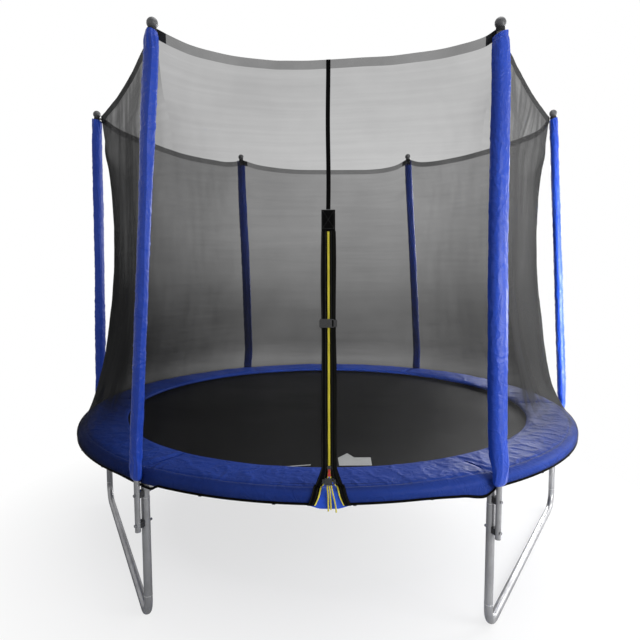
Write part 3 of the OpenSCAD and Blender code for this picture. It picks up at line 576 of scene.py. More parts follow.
@dataclass(frozen=True)
class Finish:
    """How one material looks.

    Colours are linear; threads and grain are per metre, wrinkles and weave heights in metres.
    """

    name: str
    colour: Colour
    shade: Colour
    roughness: float = 0.5
    rough_spread: float = 0.08
    metallic: float = 0.0
    drift_scale: float = 3.0
    threads: float = 0.0
    weave_height: float = 0.0
    crumple_scale: float = 0.0
    crumple_height: float = 0.0
    grain_scale: float = 0.0
    grain_height: float = 0.0
    alpha: float = 1.0
    thread_contrast: float = 0.0
    stripes: float = 0.0
    stripe_colour: Colour = (0.0, 0.0, 0.0)
    specular: float = 0.5
    streaks: float = 0.0
    denser: float = 0.0
    # painted shade: how much denser the net is made on its left side than on its right, away from the
    # lamps
    painted_left_shade: float = 0.0

    def make(self, groups: Groups) -> bpy.types.Material:
        """Builds the material.

        Args:
            groups: the shared node groups.

        Returns:
            The material.
        """
        made = bpy.data.materials.new(self.name)
        made.use_nodes = True
        made.node_tree.nodes.clear()
        nodes = Nodes(made.node_tree)
        place = nodes.add("ShaderNodeTexCoord").outputs["Object"]
        cloth = nodes.add("ShaderNodeUVMap", {"uv_map": "cloth"}).outputs[0]
        drift = nodes.add("ShaderNodeGroup", {"node_tree": groups.drift}, Vector=place,
                          Scale=self.drift_scale).outputs[0]
        colour = nodes.blend(drift, self.colour, self.shade)
        height = None
        if self.threads:
            weave = nodes.add("ShaderNodeGroup", {"node_tree": groups.weave}, Vector=cloth,
                              Threads=self.threads).outputs[0]
            height = nodes.math("MULTIPLY", weave, self.weave_height)
            if self.thread_contrast and self.alpha == 1.0:
                dim = nodes.ramp(weave, 0.0, 1.0, self.thread_contrast, 0.0)
                colour = nodes.blend(dim, colour, tuple(0.45 * c for c in self.shade))
        if self.stripes:
            split = nodes.add("ShaderNodeSeparateXYZ", Vector=cloth).outputs[0]
            wave = nodes.math("SINE", nodes.math("MULTIPLY", split, self.stripes * 2 * math.pi))
            colour = nodes.blend(nodes.ramp(wave, 0.55, 0.95, 0.0, 0.6), colour, self.stripe_colour)
        if self.crumple_scale:
            fine = nodes.add("ShaderNodeGroup", {"node_tree": groups.crumple}, Vector=place,
                             Scale=self.crumple_scale).outputs[0]
            fine = nodes.math("MULTIPLY", fine, self.crumple_height)
            height = fine if height is None else nodes.math("ADD", height, fine)
        if self.grain_scale:
            grain = nodes.add("ShaderNodeTexNoise", Vector=place, Scale=self.grain_scale,
                              Detail=3.0).outputs[0]
            grain = nodes.math("MULTIPLY", grain, self.grain_height)
            height = grain if height is None else nodes.math("ADD", height, grain)
        rough = nodes.ramp(drift, 0.0, 1.0, self.roughness - self.rough_spread,
                           self.roughness + self.rough_spread)
        bsdf = nodes.add("ShaderNodeBsdfPrincipled", Base_Color=colour, Roughness=rough,
                         Metallic=self.metallic, Specular_IOR_Level=self.specular)
        if height is not None:
            relief = nodes.add("ShaderNodeBump", Height=height, Distance=1.0, Strength=1.0)
            made.node_tree.links.new(relief.outputs[0], bsdf.inputs["Normal"])
        if self.alpha < 1.0:
            see = nodes.ramp(drift, 0.0, 1.0, self.alpha - 0.03, self.alpha + 0.03)
            if self.threads:
                see = nodes.math("ADD", see, nodes.ramp(weave, 0.0, 1.0, -self.thread_contrast,
                                                        self.thread_contrast))
            if self.streaks:
                long = nodes.add("ShaderNodeVectorMath", {"operation": "MULTIPLY"}, in_0=cloth,
                                 in_1=(1.6, 42.0, 1.0)).outputs[0]
                streak = nodes.add("ShaderNodeTexNoise", Vector=long, Scale=1.0,
                                   Detail=2.0).outputs[0]
                see = nodes.math("ADD", see, nodes.ramp(streak, 0.3, 0.7, -self.streaks,
                                                        self.streaks))
            if self.denser:
                axes = nodes.add("ShaderNodeSeparateXYZ", Vector=place).outputs
                more = nodes.math("ADD", nodes.ramp(axes["Z"], 1.5, 1.95, self.denser, 0.0),
                                  nodes.ramp(axes["Z"], 1.2, 1.55, 1.5 * self.denser, 0.0))
                more = nodes.math("MULTIPLY", more, nodes.ramp(axes["Z"], 0.78, 0.95, 0.0, 1.0))
                # painted shade and light: the net is denser on its left side and clearer on its right,
                # where the lamps stand
                more = nodes.math("ADD", more, nodes.ramp(axes["X"], -1.0, 1.0, self.painted_left_shade,
                                                          -self.painted_left_shade))
                see = nodes.math("ADD", see, more)
            clear = nodes.math("SUBTRACT", 1.0, see)
            facing = nodes.add("ShaderNodeLayerWeight", Blend=0.5).outputs["Facing"]
            straight = nodes.math("MAXIMUM", nodes.math("SUBTRACT", 1.0, facing), 0.16)
            power = nodes.math("POWER", nodes.math("DIVIDE", 1.0, straight), 0.65)
            shadow = nodes.add("ShaderNodeLightPath").outputs["Is Shadow Ray"]
            power = nodes.math("MULTIPLY", power, nodes.ramp(shadow, 0.0, 1.0, 1.0, 0.35))
            through = nodes.math("POWER", clear, power)
            made.node_tree.links.new(nodes.math("SUBTRACT", 1.0, through), bsdf.inputs["Alpha"])
        out = nodes.add("ShaderNodeOutputMaterial")
        made.node_tree.links.new(bsdf.outputs[0], out.inputs[0])
        return made


WOVEN = {"drift_scale": 9, "threads": 620, "weave_height": 0.0003, "thread_contrast": 0.35}


class Kind(Enum):
    """The finishes by name."""

    STEEL = Finish("galvanised_steel", (0.33, 0.33, 0.335), (0.25, 0.25, 0.255), 0.4, 0.05, 0.75,
                   drift_scale=9)
    RIM = Finish("bright_steel", (0.72, 0.72, 0.72), (0.6, 0.6, 0.6), 0.34, 0.06, 0.9,
                 drift_scale=40)
    ZINC = Finish("dark_zinc", (0.30, 0.30, 0.31), (0.18, 0.18, 0.19), 0.38, 0.1, 0.9,
                  drift_scale=60, grain_scale=900, grain_height=0.00003)
    SPRING = Finish("spring_wire", (0.42, 0.42, 0.43), (0.26, 0.26, 0.27), 0.3, 0.08, 0.9,
                    drift_scale=40)
    FOAM = Finish("grey_foam", (0.17, 0.17, 0.17), (0.12, 0.12, 0.12), 0.95, 0.03, drift_scale=30,
                  grain_scale=500, grain_height=0.0005)
    SLEEVE = Finish("blue_sleeve", (0.015, 0.058, 0.41), (0.010, 0.042, 0.33), 0.36, 0.08,
                    specular=0.24, drift_scale=2.2, threads=900, weave_height=0.00005,
                    crumple_scale=26, crumple_height=0.0009)
    PAD = Finish("blue_pad", (0.032, 0.110, 0.68), (0.024, 0.086, 0.58), 0.46, 0.08,
                 specular=0.14, drift_scale=2.4, threads=900, weave_height=0.00005, crumple_scale=17,
                 crumple_height=0.0011)
    PLASTIC = Finish("black_plastic", (0.012, 0.012, 0.013), (0.008, 0.008, 0.009), 0.26, 0.06,
                     drift_scale=50, grain_scale=1400, grain_height=0.00003)
    CAP = Finish("dark_grey_plastic", (0.062, 0.062, 0.064), (0.05, 0.05, 0.052), 0.42, 0.07,
                 drift_scale=40, grain_scale=1200, grain_height=0.00004)
    MAT = Finish("black_mat", (0.005, 0.005, 0.0047), (0.003, 0.003, 0.0028), 0.52, 0.05,
                 specular=0.11, drift_scale=1.6, threads=420, weave_height=0.0004, thread_contrast=0.5)
    WEBBING = Finish("black_webbing", (0.003, 0.003, 0.003), (0.002, 0.002, 0.002), 0.8, 0.06,
                     specular=0.03, **WOVEN)
    CORNER = Finish("grey_webbing", (0.034, 0.034, 0.035), (0.024, 0.024, 0.025), 0.8, 0.06,
                    specular=0.1, **WOVEN)
    BAND = Finish("striped_webbing", (0.003, 0.003, 0.003), (0.002, 0.002, 0.002), 0.8, 0.06,
                  specular=0.03, **WOVEN,
                  stripes=72, stripe_colour=(0.016, 0.016, 0.010))
    # the net carries painted shade, denser on its left side than on its right
    NET = Finish("grey_net", (0.014, 0.014, 0.014), (0.010, 0.010, 0.010), 0.9, 0.05,
                 specular=0.02, denser=0.08, painted_left_shade=0.042, drift_scale=1.8, threads=330, alpha=0.49,
                 thread_contrast=0.06, streaks=0.016)
    HEM = Finish("grey_hem", (0.024, 0.024, 0.024), (0.018, 0.018, 0.018), 0.9, 0.05,
                 specular=0.04, drift_scale=4, threads=330, alpha=0.74, thread_contrast=0.05)
    TAPE = Finish("yellow_tape", (0.80, 0.70, 0.05), (0.70, 0.60, 0.04), 0.6, 0.06,
                  drift_scale=14, threads=700, weave_height=0.0002, thread_contrast=0.15)
    CORD = Finish("yellow_cord", (0.72, 0.62, 0.04), (0.6, 0.50, 0.03), 0.55, 0.06, drift_scale=25,
                  threads=600, weave_height=0.0005, thread_contrast=0.4)
    RED = Finish("red_plastic", (0.45, 0.022, 0.016), (0.36, 0.016, 0.012), 0.36, 0.06,
                 drift_scale=60)
    THREAD = Finish("pale_thread", (0.30, 0.36, 0.55), (0.24, 0.3, 0.48), 0.7, 0.05)
    DARK_THREAD = Finish("dark_thread", (0.035, 0.035, 0.034), (0.025, 0.025, 0.025), 0.7, 0.05)
    LABEL = Finish("blank_label", (0.94, 0.95, 0.93), (0.89, 0.90, 0.88), 0.6, 0.06,
                   drift_scale=18, threads=800, weave_height=0.0001, crumple_scale=24,
                   crumple_height=0.0005)


class Finishes:
    """Makes each finish's material when it is first asked for."""

    def __init__(self) -> None:
        """Starts with the shared groups and no material."""
        self.groups = Groups()
        self.made: dict[Kind, bpy.types.Material] = {}

    def __getitem__(self, kind: Kind) -> bpy.types.Material:
        """The material of one finish."""
        if kind not in self.made:
            self.made[kind] = kind.value.make(self.groups)
        return self.made[kind]


# ------------------------------------------------------------------ the room
@dataclass(frozen=True)
class Lamp:
    """A square soft lamp: place and size in metres, power in watts, spread in degrees."""

    name: str
    place: Point
    size: float
    power: float
    target: Point = (0.0, 0.0, 0.9)
    spread: float = 180.0

    def build(self) -> None:
        """Makes the lamp, aimed at its target and not seen itself."""
        data = bpy.data.lights.new(self.name, "AREA")
        data.size, data.energy, data.spread = self.size, self.power, math.radians(self.spread)
        lamp = bpy.data.objects.new(self.name, data)
        lamp.visible_camera = False
        lamp.location = self.place
        aim = Vector(self.target) - Vector(self.place)
        lamp.rotation_euler = aim.to_track_quat("-Z", "Y").to_euler()
        bpy.context.scene.collection.objects.link(lamp)


LAMPS = (
    Lamp("key_lamp", (2.9, -4.2, 2.8), 1.8, 50.0),
    Lamp("near_lamp", (2.9, -2.6, 1.5), 1.2, 46.0),
    Lamp("side_lamp", (4.2, 0.6, 2.0), 2.2, 120.0),
    Lamp("back_lamp", (3.2, 4.4, 2.0), 2.4, 380.0),
    Lamp("top_lamp", (0.9, -0.6, 6.0), 3.4, 120.0),
    Lamp("fill_lamp", (-2.6, -4.6, 2.0), 3.0, 14.0),
    Lamp("pole_lamp", (3.0, -3.4, 1.2), 1.0, 34.0, (1.55, 0.0, 1.3), 40.0),
)


@dataclass
class Studio:
    """The camera, the lamps and the pale floor."""

    place: Point = (0.1291, -3.5803, 1.5578)
    yaw: float = -0.0474
    pitch: float = 0.0828
    roll: float = -0.0024
    lens: float = 30.41
    floor_colour: Colour = (0.83, 0.83, 0.83)
    shadow_radius: float = 2.3
    glow: float = 0.65

    def build(self) -> None:
        """Makes everything."""
        self._camera()
        for lamp in LAMPS:
            lamp.build()
        self._world()
        self._floor()

    def _camera(self) -> None:
        """The camera, at the height and angle of an adult standing in front."""
        data = bpy.data.cameras.new("camera")
        data.lens, data.sensor_width = self.lens, 36.0
        data.clip_start, data.clip_end = 0.05, 60.0
        ahead = Vector((math.sin(self.yaw) * math.cos(self.pitch),
                        math.cos(self.yaw) * math.cos(self.pitch), -math.sin(self.pitch)))
        right = Vector((math.cos(self.yaw), -math.sin(self.yaw), 0.0))
        right = Matrix.Rotation(self.roll, 3, -ahead) @ right
        up = right.cross(ahead)
        turned = Matrix((right, up, -ahead)).transposed().to_4x4()
        camera = bpy.data.objects.new("camera", data)
        camera.matrix_world = Matrix.Translation(self.place) @ turned
        bpy.context.scene.collection.objects.link(camera)
        bpy.context.scene.camera = camera

    def _world(self) -> None:
        """White to the eye, a softer grey as light."""
        world = bpy.data.worlds.new("world")
        bpy.context.scene.world = world
        world.use_nodes = True
        world.node_tree.nodes.clear()
        nodes = Nodes(world.node_tree)
        ray = nodes.add("ShaderNodeLightPath").outputs
        seen = nodes.math("MAXIMUM", ray["Is Camera Ray"],
                          nodes.math("MAXIMUM", ray["Is Glossy Ray"], ray["Is Transmission Ray"]))
        colour = nodes.blend(seen, (0.22, 0.23, 0.25), (1.0, 1.0, 1.0))
        shine = nodes.add("ShaderNodeBackground", Color=colour, Strength=1.0)
        out = nodes.add("ShaderNodeOutputWorld")
        world.node_tree.links.new(shine.outputs[0], out.inputs[0])
        bpy.context.scene.view_settings.view_transform = "Standard"

    def _floor(self) -> None:
        """A pale floor that turns into the white surroundings away from the shadow."""
        data = MeshData().grid(around(np.linspace(0, 14000, 30)[:, None], np.arange(96) * 3.75,
                                      -DATUM),
                               ring=True)
        made = bpy.data.materials.new("floor")
        made.use_nodes = True
        made.node_tree.nodes.clear()
        nodes = Nodes(made.node_tree)
        place = nodes.add("ShaderNodeTexCoord").outputs["Object"]
        far = nodes.add("ShaderNodeVectorMath", {"operation": "LENGTH"},
                        in_0=place).outputs["Value"]
        share = nodes.ramp(far, self.shadow_radius - 1.3, self.shadow_radius, self.glow, 1.0)
        plain = nodes.add("ShaderNodeBsdfDiffuse", Color=(*self.floor_colour, 1.0))
        white = nodes.add("ShaderNodeEmission", Color=(1, 1, 1, 1), Strength=1.0)
        ray = nodes.add("ShaderNodeLightPath").outputs["Is Camera Ray"]
        share = nodes.math("MULTIPLY", share, ray)
        both = nodes.add("ShaderNodeMixShader", in_0=share, in_1=plain.outputs[0],
                         in_2=white.outputs[0])
        out = nodes.add("ShaderNodeOutputMaterial")
        made.node_tree.links.new(both.outputs[0], out.inputs[0])
        data.done("floor", made)


# ------------------------------------------------------------------ parts that keep their shape
@dataclass
class Carried:
    """Gives every CAD node that is shown as it is a finish, and all but the steel ones softened edges.
    """

    finishes: Finishes
    nodes: dict
    shown: dict[str, tuple[Kind, float]] = field(default_factory=lambda: {
        **{f"top_rail_{n}": (Kind.STEEL, 0.0) for n in POLE_NAMES},
        **{f"leg_base_{n}": (Kind.STEEL, 0.0) for n in ("right", "back", "left")},
        **{f"leg_upright_{n}": (Kind.STEEL, 0.0) for n in POLE_NAMES},
        **{f"lower_pole_{n}": (Kind.STEEL, 0.0) for n in POLE_NAMES},
        "upper_poles": (Kind.STEEL, 0.0),
        "pole_spacers": (Kind.PLASTIC, 0.6),
        "pole_bolts": (Kind.ZINC, 0.4),
        "pole_nuts": (Kind.ZINC, 0.4),
        "buckle_sockets": (Kind.PLASTIC, 0.9),
        "upper_buckle_clip": (Kind.PLASTIC, 0.8),
        "lower_buckle_clip": (Kind.PLASTIC, 0.8),
        "net_ties": (Kind.PLASTIC, 0.3),
        "zip_slider": (Kind.PLASTIC, 0.5),
        "zip_pull": (Kind.RED, 0.5),
    })

    def build(self) -> None:
        """Adds the materials and the bevels."""
        for name, (kind, width) in self.shown.items():
            node = self.nodes[name]
            node.data.materials.clear()
            node.data.materials.append(self.finishes[kind])
            if width:
                bevel = node.modifiers.new("edge", "BEVEL")
                bevel.width, bevel.segments = width * MM, 2
                bevel.limit_method, bevel.angle_limit = "ANGLE", math.radians(35)
            LOG.info("carried over %s as %s", name, kind.value.name)


# ------------------------------------------------------------------ where everything stands
LEANS = (3.5, 3.5, 3.5, 3.35, 3.7, 3.7)
LEAN_TURNS = (142.0, 142.0, 142.0, 137.0, 141.0, 155.0)
CORNER_SHIFTS = ((0, 0), (0, 0), (0, 0), (9, 4), (-4, 4), (-18, -18))
HEMS = (
    Profile([(-1, 2530), (-0.95, 2485), (-0.89, 2462), (-0.7, 2445), (-0.4, 2431), (0, 2427),
             (0.3, 2434), (0.6, 2449), (0.8, 2471), (0.93, 2505), (1, 2525)]),
    Profile([(-1, 2525), (-0.95, 2500), (-0.89, 2475), (-0.82, 2459), (-0.69, 2443), (-0.5, 2435),
             (0, 2434), (0.3, 2436), (0.5, 2445), (0.7, 2462), (0.83, 2479), (1, 2520)]),
    Profile([(-1, 2520), (-0.92, 2500), (-0.82, 2480), (-0.7, 2465), (-0.5, 2455), (-0.3, 2446),
             (0, 2440), (0.27, 2448), (0.5, 2464), (0.7, 2478), (0.85, 2496), (1, 2540)]),
    Profile([(-1, 2540), (-0.72, 2518), (-0.4, 2510), (0, 2507), (0.33, 2508), (0.6, 2521),
             (0.8, 2536), (1, 2540)]),
    Profile([(-1, 2540), (-0.93, 2509), (-0.81, 2467), (-0.69, 2442), (-0.57, 2424), (-0.44, 2413),
             (-0.3, 2406), (-0.16, 2406), (0, 2410), (0.2, 2417), (0.38, 2423), (0.53, 2435),
             (0.68, 2449), (0.81, 2470), (0.95, 2504), (1, 2530)]),
    Profile([(-1, 2530), (-0.67, 2508), (-0.56, 2495), (-0.44, 2487), (-0.25, 2481), (0, 2481),
             (0.3, 2486), (0.6, 2495), (0.94, 2520), (1, 2530)]))
DRAWN_IN = (0.0, 0.0, 0.0, 10.0, 0.0, 74.0)
POLE_R, LEG_R = 1550.0, 1506.0
BEND_LOW, BEND_TOP = 660.0, 843.0
POLE_TOP_W = 1676.0
HEM_CORNER_Z, HEM_DROP_Z, ZIP_TOP_Z = 2540.0, 1790.0, 1700.0
NET_FOOT_Z, NET_BINDING_Z, NET_HEM_Z = 616.5, 626.0, 2496.0
NET_UV_R = 1400.0  # the radius at which the net's threads have their true spacing
NET_TURN, FRONT = 2.5, 4
NET_MIDDLE = Profile([(616.5, 1533), (640, 1534), (655, 1530), (665, 1522), (674, 1510),
                      (684, 1499), (697, 1489), (730, 1470), (800, 1440), (900, 1395),
                      (1050, 1345), (1250, 1300), (1450, 1280), (1700, 1270), (1790, 1268),
                      (2050, 1262), (2300, 1255), (2498, 1250), (2540, 1250)])
NET_CORNER = Profile([(616.5, 1533), (640, 1534), (655, 1530), (665, 1522), (674, 1511),
                      (684, 1501), (697, 1493), (730, 1480), (800, 1462), (900, 1438), (1050, 1412),
                      (1150, 1398), (1250, 1386), (1350, 1372), (1450, 1362), (1575, 1351),
                      (1700, 1347), (1790, 1345), (1900, 1348), (2050, 1356), (2175, 1371),
                      (2300, 1410), (2498, 1435), (2540, 1438)])
DOOR_INNER = Profile([(616, 60), (655, 43), (674, 37), (684, 33), (697, 24), (715, 10), (730, 7),
                      (762, 5.5), (1800, 5.5)])
DOOR_OUTER = Profile([(616, 86), (655, 70), (674, 64), (684, 60), (697, 52), (715, 45), (730, 39),
                      (762, 30), (1800, 30)])
PAD_DROOP = Profile([(0, 0), (286, 0), (293.5, 12), (297.7, 32), (300.5, 3), (302.5, 0), (363, 0)])
NET_DROOP = Profile([(0, 0), (233.5, 0), (238, 9), (242.5, 21), (244.3, 0), (286, 0), (293.5, 12),
                     (297.7, 32), (300.5, 3), (302.5, 0), (363, 0)])
DOOR_R, DOOR_Z, ZIP_TILT, DOOR_TURN = 1512.0, 700.0, 12.25, -87.5


def lean_at(pole: int, z: Points) -> Points:
    """How far a pole's middle line has moved from upright at a height.

    Args:
        pole: the pole's number.
        z: the heights.

    Returns:
        Distances in mm.
    """
    z = np.asarray(z, float)
    lean = math.radians(LEANS[pole])
    bend_r = (BEND_TOP - BEND_LOW) / math.sin(lean)
    low = np.clip(z, BEND_LOW, BEND_TOP) - BEND_LOW
    bent = bend_r - np.sqrt(bend_r**2 - low**2)
    return bent + np.maximum(z - BEND_TOP, 0) * math.tan(lean)


def pole_line(pole: int, z: Points) -> tuple[Points, Points]:
    """Outward and sideways place of a pole's middle line, in that pole's own directions."""
    shift, turn = lean_at(pole, z), math.radians(LEAN_TURNS[pole])
    return POLE_R + shift * math.cos(turn), shift * math.sin(turn)


def pole_matrix(pole: int, along: float) -> Matrix:
    """Places something at a distance up the leaning part of a pole, with Z along it.

    Args:
        pole: the pole's number.
        along: the distance in mm.

    Returns:
        The matrix.
    """
    lean = math.radians(LEANS[pole])
    bend_r = (BEND_TOP - BEND_LOW) / math.sin(lean)
    return (Matrix.Rotation(math.radians(STEP * pole), 4, "Z")
            @ Matrix.Translation((POLE_R, 0, 0))
            @ Matrix.Rotation(math.radians(LEAN_TURNS[pole]), 4, "Z")
            @ Matrix.Translation((bend_r * (1 - math.cos(lean)), 0, BEND_TOP))
            @ Matrix.Rotation(lean, 4, "Y") @ Matrix.Translation((0, 0, along)))


def door_matrix() -> Matrix:
    """The door's own directions: X out of it, Y to the right, Z up the zip."""
    return (Matrix.Rotation(math.radians(DOOR_TURN), 4, "Z")
            @ Matrix.Translation((DOOR_R, 0, DOOR_Z))
            @ Matrix.Rotation(math.radians(-ZIP_TILT), 4, "Y"))


class NetShape:
    """The curved surface of the net, panel by panel."""

    def radius(self, panel: int, s: Points, z: Points) -> Points:
        """Distance of the net from the trampoline's middle.

        Args:
            panel: its number.
            s: places across it, -1 to 1.
            z: rows, as heights before the hem's sag.

        Returns:
            The distances; the front panel is pulled out to the door.
        """
        s, z = np.broadcast_arrays(np.asarray(s, float), np.asarray(z, float))
        middle, corner = NET_MIDDLE(z), NET_CORNER(z)
        middle = middle - DRAWN_IN[panel] * smooth(z, 690, 860) * (1 - smooth(z, 2150, 2500))
        tight = smooth(z, 2150, 2500)
        out = middle + (corner - middle) * (tight * s**2 + (1 - tight) * (1 - np.cos(np.pi * s)) / 2)
        if panel == FRONT:
            low = np.minimum(z, HEM_DROP_Z)
            fade = np.maximum(0, 1 - (z - low) / 260)
            door_r = DOOR_R - (low - DOOR_Z) * math.tan(math.radians(ZIP_TILT))
            pull = fade * (door_r - NET_MIDDLE(low))
            out = out + np.where(z < 690, 0, np.maximum(pull, 0)) * (1 - s**2) ** 2
        return out

    def height(self, panel: int, s: Points, z: Points) -> Points:
        """Height of a point whose row is z, with the hem sagging between the poles.

        Args:
            panel: the panel's number.
            s: place across it, -1 to 1.
            z: its row.

        Returns:
            Heights in mm.
        """
        top = HEMS[panel](s)
        share = (z - HEM_DROP_Z) / (HEM_CORNER_Z - HEM_DROP_Z)
        return np.where(z <= HEM_DROP_Z, z, HEM_DROP_Z + share * (top - HEM_DROP_Z))

    def points(self, panel: int, s: Points, z: Points, lift: Points = 0.0) -> Points:
        """Points of a panel.

        Args:
            panel: its number, counted from the one between the poles at 0 and 60 degrees.
            s: places across it, -1 to 1.
            z: rows, as heights before the hem's sag.
            lift: distance outwards from its surface.

        Returns:
            The points, in the trampoline's own directions.
        """
        s, z, lift = np.broadcast_arrays(np.asarray(s, float), np.asarray(z, float),
                                         np.asarray(lift, float))
        up, down = np.minimum(z + 4, HEM_CORNER_Z), np.maximum(z - 4, NET_FOOT_Z)
        rise = self.height(panel, s, up) - self.height(panel, s, down)
        run = self.radius(panel, s, up) - self.radius(panel, s, down)
        long = np.hypot(rise, run)
        share = (np.maximum(0, np.abs(s) - 0.2) / 0.8) ** 1.5
        share = share * np.maximum(0, z - HEM_DROP_Z) / (HEM_CORNER_Z - HEM_DROP_Z)
        left, right = np.array(CORNER_SHIFTS[panel]), np.array(CORNER_SHIFTS[(panel + 1) % POLES])
        follow = share[..., None] * np.where((s > 0)[..., None], right, left)
        r = self.radius(panel, s, z) + lift * rise / long + follow[..., 0]
        h = self.height(panel, s, z) - lift * run / long
        angle = STEP * panel + HALF_STEP + NET_TURN + s * HALF_STEP
        h = h - NET_DROOP(angle) * (1 - smooth(z, 618, 668))
        return around(r, angle + np.degrees(follow[..., 1] / r), h)

    def beside_door(self, y: Points, z: Points, lift: Points = 0.0) -> Points:
        """Points of the front panel at a sideways distance from the door's middle line."""
        s = np.degrees(np.asarray(y, float) / self.radius(FRONT, 0.0, z)) / HALF_STEP
        return self.points(FRONT, s, z, lift)


# ------------------------------------------------------------------ sleeves of the upper poles
FOAM_CLEAR_R = 21.6
SLEEVE_SEED = 40


@dataclass(frozen=True)
class Fold:
    """A long fold in a sleeve: where it runs, how high and wide it is."""

    low_angle: float
    high_angle: float
    height: float
    width: float
    low_z: float = 640.0
    high_z: float = 2500.0


class SleeveTop(Enum):
    """How a sleeve ends under its cap."""

    GATHERED = "gathered"
    FOLDED = "folded"


@dataclass
class Sleeve:
    """The loose cloth sleeve round one pole's foam tube; rings are (height, half width, in, out)."""

    pole: int
    slack: float
    hang: tuple[float, float]
    folds: tuple[Fold, ...]
    top: SleeveTop = SleeveTop.GATHERED
    crumple: float = 1.0
    rows: int = 230
    sides: int = 104
    rings: tuple = ((634.5, 22, 13.6, 13), (637.5, 25, 14.8, 15), (646, 31, 15, 21), (698, 34, 15, 26),
                    (745, 35, 24, 29), (1250, 35, 26, 29), (1900, 34, 25, 29), (2470, 31, 23, 27),
                    (2508, 21.8, 20.6, 21))
    top_half: float = 21.8
    top_slack: float = 0.0
    top_rise: float = 16.0
    neck_z: float = 2470.0
    squareness: float = 0.86

    def build(self, finishes: Finishes) -> bpy.types.Object:
        """Makes the sleeve.

        Args:
            finishes: the materials.

        Returns:
            The object.
        """
        name = POLE_NAMES[self.pole]
        foot_z, top_z = self.rings[0][0], self.rings[-1][0]
        z = np.concatenate([np.linspace(foot_z, self.neck_z, self.rows),
                            np.linspace(self.neck_z + 4, top_z, 14)])[:, None]
        degrees = (np.arange(self.sides) * 360.0 / self.sides - 180)[None]
        cos, sin = np.cos(np.radians(degrees)), np.sin(np.radians(degrees))
        out, side = self._oval(z, cos, sin)
        share = Profile([(700, 0), (850, 1), (1400, 1), (2300, 0)])(z)
        core_out, core_side = pole_line(self.pole, z)
        core_out, core_side = core_out + share * self.hang[0], core_side + share * self.hang[1]
        reach = np.hypot(out, side)
        more = self._folds(z, degrees) + self._crumples(spread(core_out + out, core_side + side, z),
                                                        z, degrees)
        more = np.where(more < 0, more * 0.4, more)
        free = smooth(z, 700, 760) + (cos > -0.2) * (1 - smooth(z, 700, 760))
        scale = 1 + more * free / np.maximum(reach, 15)
        points = spread(core_out + out * scale, core_side + side * scale, z)
        rise = smooth(z, 2440, top_z)
        points[..., 2] += rise * self.top_rise * (1 + cos) / 2
        if self.top is SleeveTop.FOLDED:
            points[..., 2] += rise * (0.36 * side * scale - 13)
        turn = Matrix.Rotation(math.radians(STEP * self.pole), 4, "Z")
        girth = 2 * math.pi * 31
        uv = spread((degrees + 180) / 360 * girth, z - 634)
        data = MeshData().grid(placed(points, turn), uv=uv, ring=True)
        core = spread(core_out, core_side, z)
        for row, turned_in in ((0, ((0.96, -0.8), (0.93, 2.0), (0.93, 14.0))),
                               (-1, ((0.92, 0.8), (0.88, -2.0), (0.88, -12.0)))):
            rim = [points[row]] + [core[row] + (points[row] - core[row]) * depth + np.array([0, 0, up])
                                   for depth, up in turned_in]
            data.grid(placed(np.stack(rim), turn), ring=True, flip=row == 0)
        lining = core[::4] + (points - core)[::4, ::4] * (1 - 1.5 / reach[::4, ::4, None])
        data.grid(placed(lining, turn), ring=True, flip=True)
        made = keep(data.done(f"sleeve_{name}", finishes[Kind.SLEEVE], merge=0.01, sharp=70),
                    f"pole_sleeve_{name}")
        LOG.info("sleeve %s: %s top, slack %.2f", name, self.top.value, self.slack)
        return made

    def _oval(self, z: Points, cos: Points, sin: Points) -> tuple[Points, Points]:
        """The sleeve's section before its folds, which never cuts the foam.

        Args:
            z: heights.
            cos: cosines of the angles round the pole, 1 outwards.
            sin: their sines.

        Returns:
            Outward and sideways distances from its middle line.
        """
        top_z = self.rings[-1][0]
        wide = Profile([(r[0], r[1]) for r in self.rings[:-1]] + [(top_z, self.top_half)])
        inward, outward = (Profile([(r[0], r[k]) for r in self.rings]) for k in (2, 3))
        loose = self.slack + self.top_slack * smooth(z, 1700, 2300)
        slack = 1 + (loose - 1) * (0.4 + 0.6 * smooth(z, 690, 720)) * (1 - smooth(z, self.neck_z, top_z))
        least_side, least_out = (FOAM_CLEAR_R * (z > 740) + abs(self.hang[k]) for k in (1, 0))
        half = np.maximum(wide(z) * slack, least_side)
        deep_out = np.maximum(outward(z) * slack, least_out)
        deep_in = np.where(z < 740, inward(z), np.maximum(inward(z) * slack, least_out))
        deep = np.where(cos < 0, deep_in, deep_out)
        return (deep * np.sign(cos) * np.abs(cos) ** self.squareness,
                half * np.sign(sin) * np.abs(sin) ** self.squareness)

    def _folds(self, z: Points, degrees: Points) -> Points:
        """How far the long folds stand out, at heights and at angles round the pole.

        Args:
            z: the heights.
            degrees: the angles.

        Returns:
            Distances in mm.
        """
        seed = SLEEVE_SEED + self.pole
        more = 0.0
        for fold in self.folds:
            t = np.clip((z - fold.low_z) / (fold.high_z - fold.low_z), 0, 1)
            line = fold.low_angle + (fold.high_angle - fold.low_angle) * t
            line = line + 7 * np.sin(z / 190 + seed) + 4 * np.sin(z / 71 + 2 * seed)
            away = (degrees - line + 180) % 360 - 180
            gone = smooth(z, fold.low_z - 40, fold.low_z + 60)
            gone = gone * (1 - smooth(z, fold.high_z - 80, fold.high_z))
            more = more + gone * fold.height * np.exp(-np.abs(away) / fold.width)
        return more

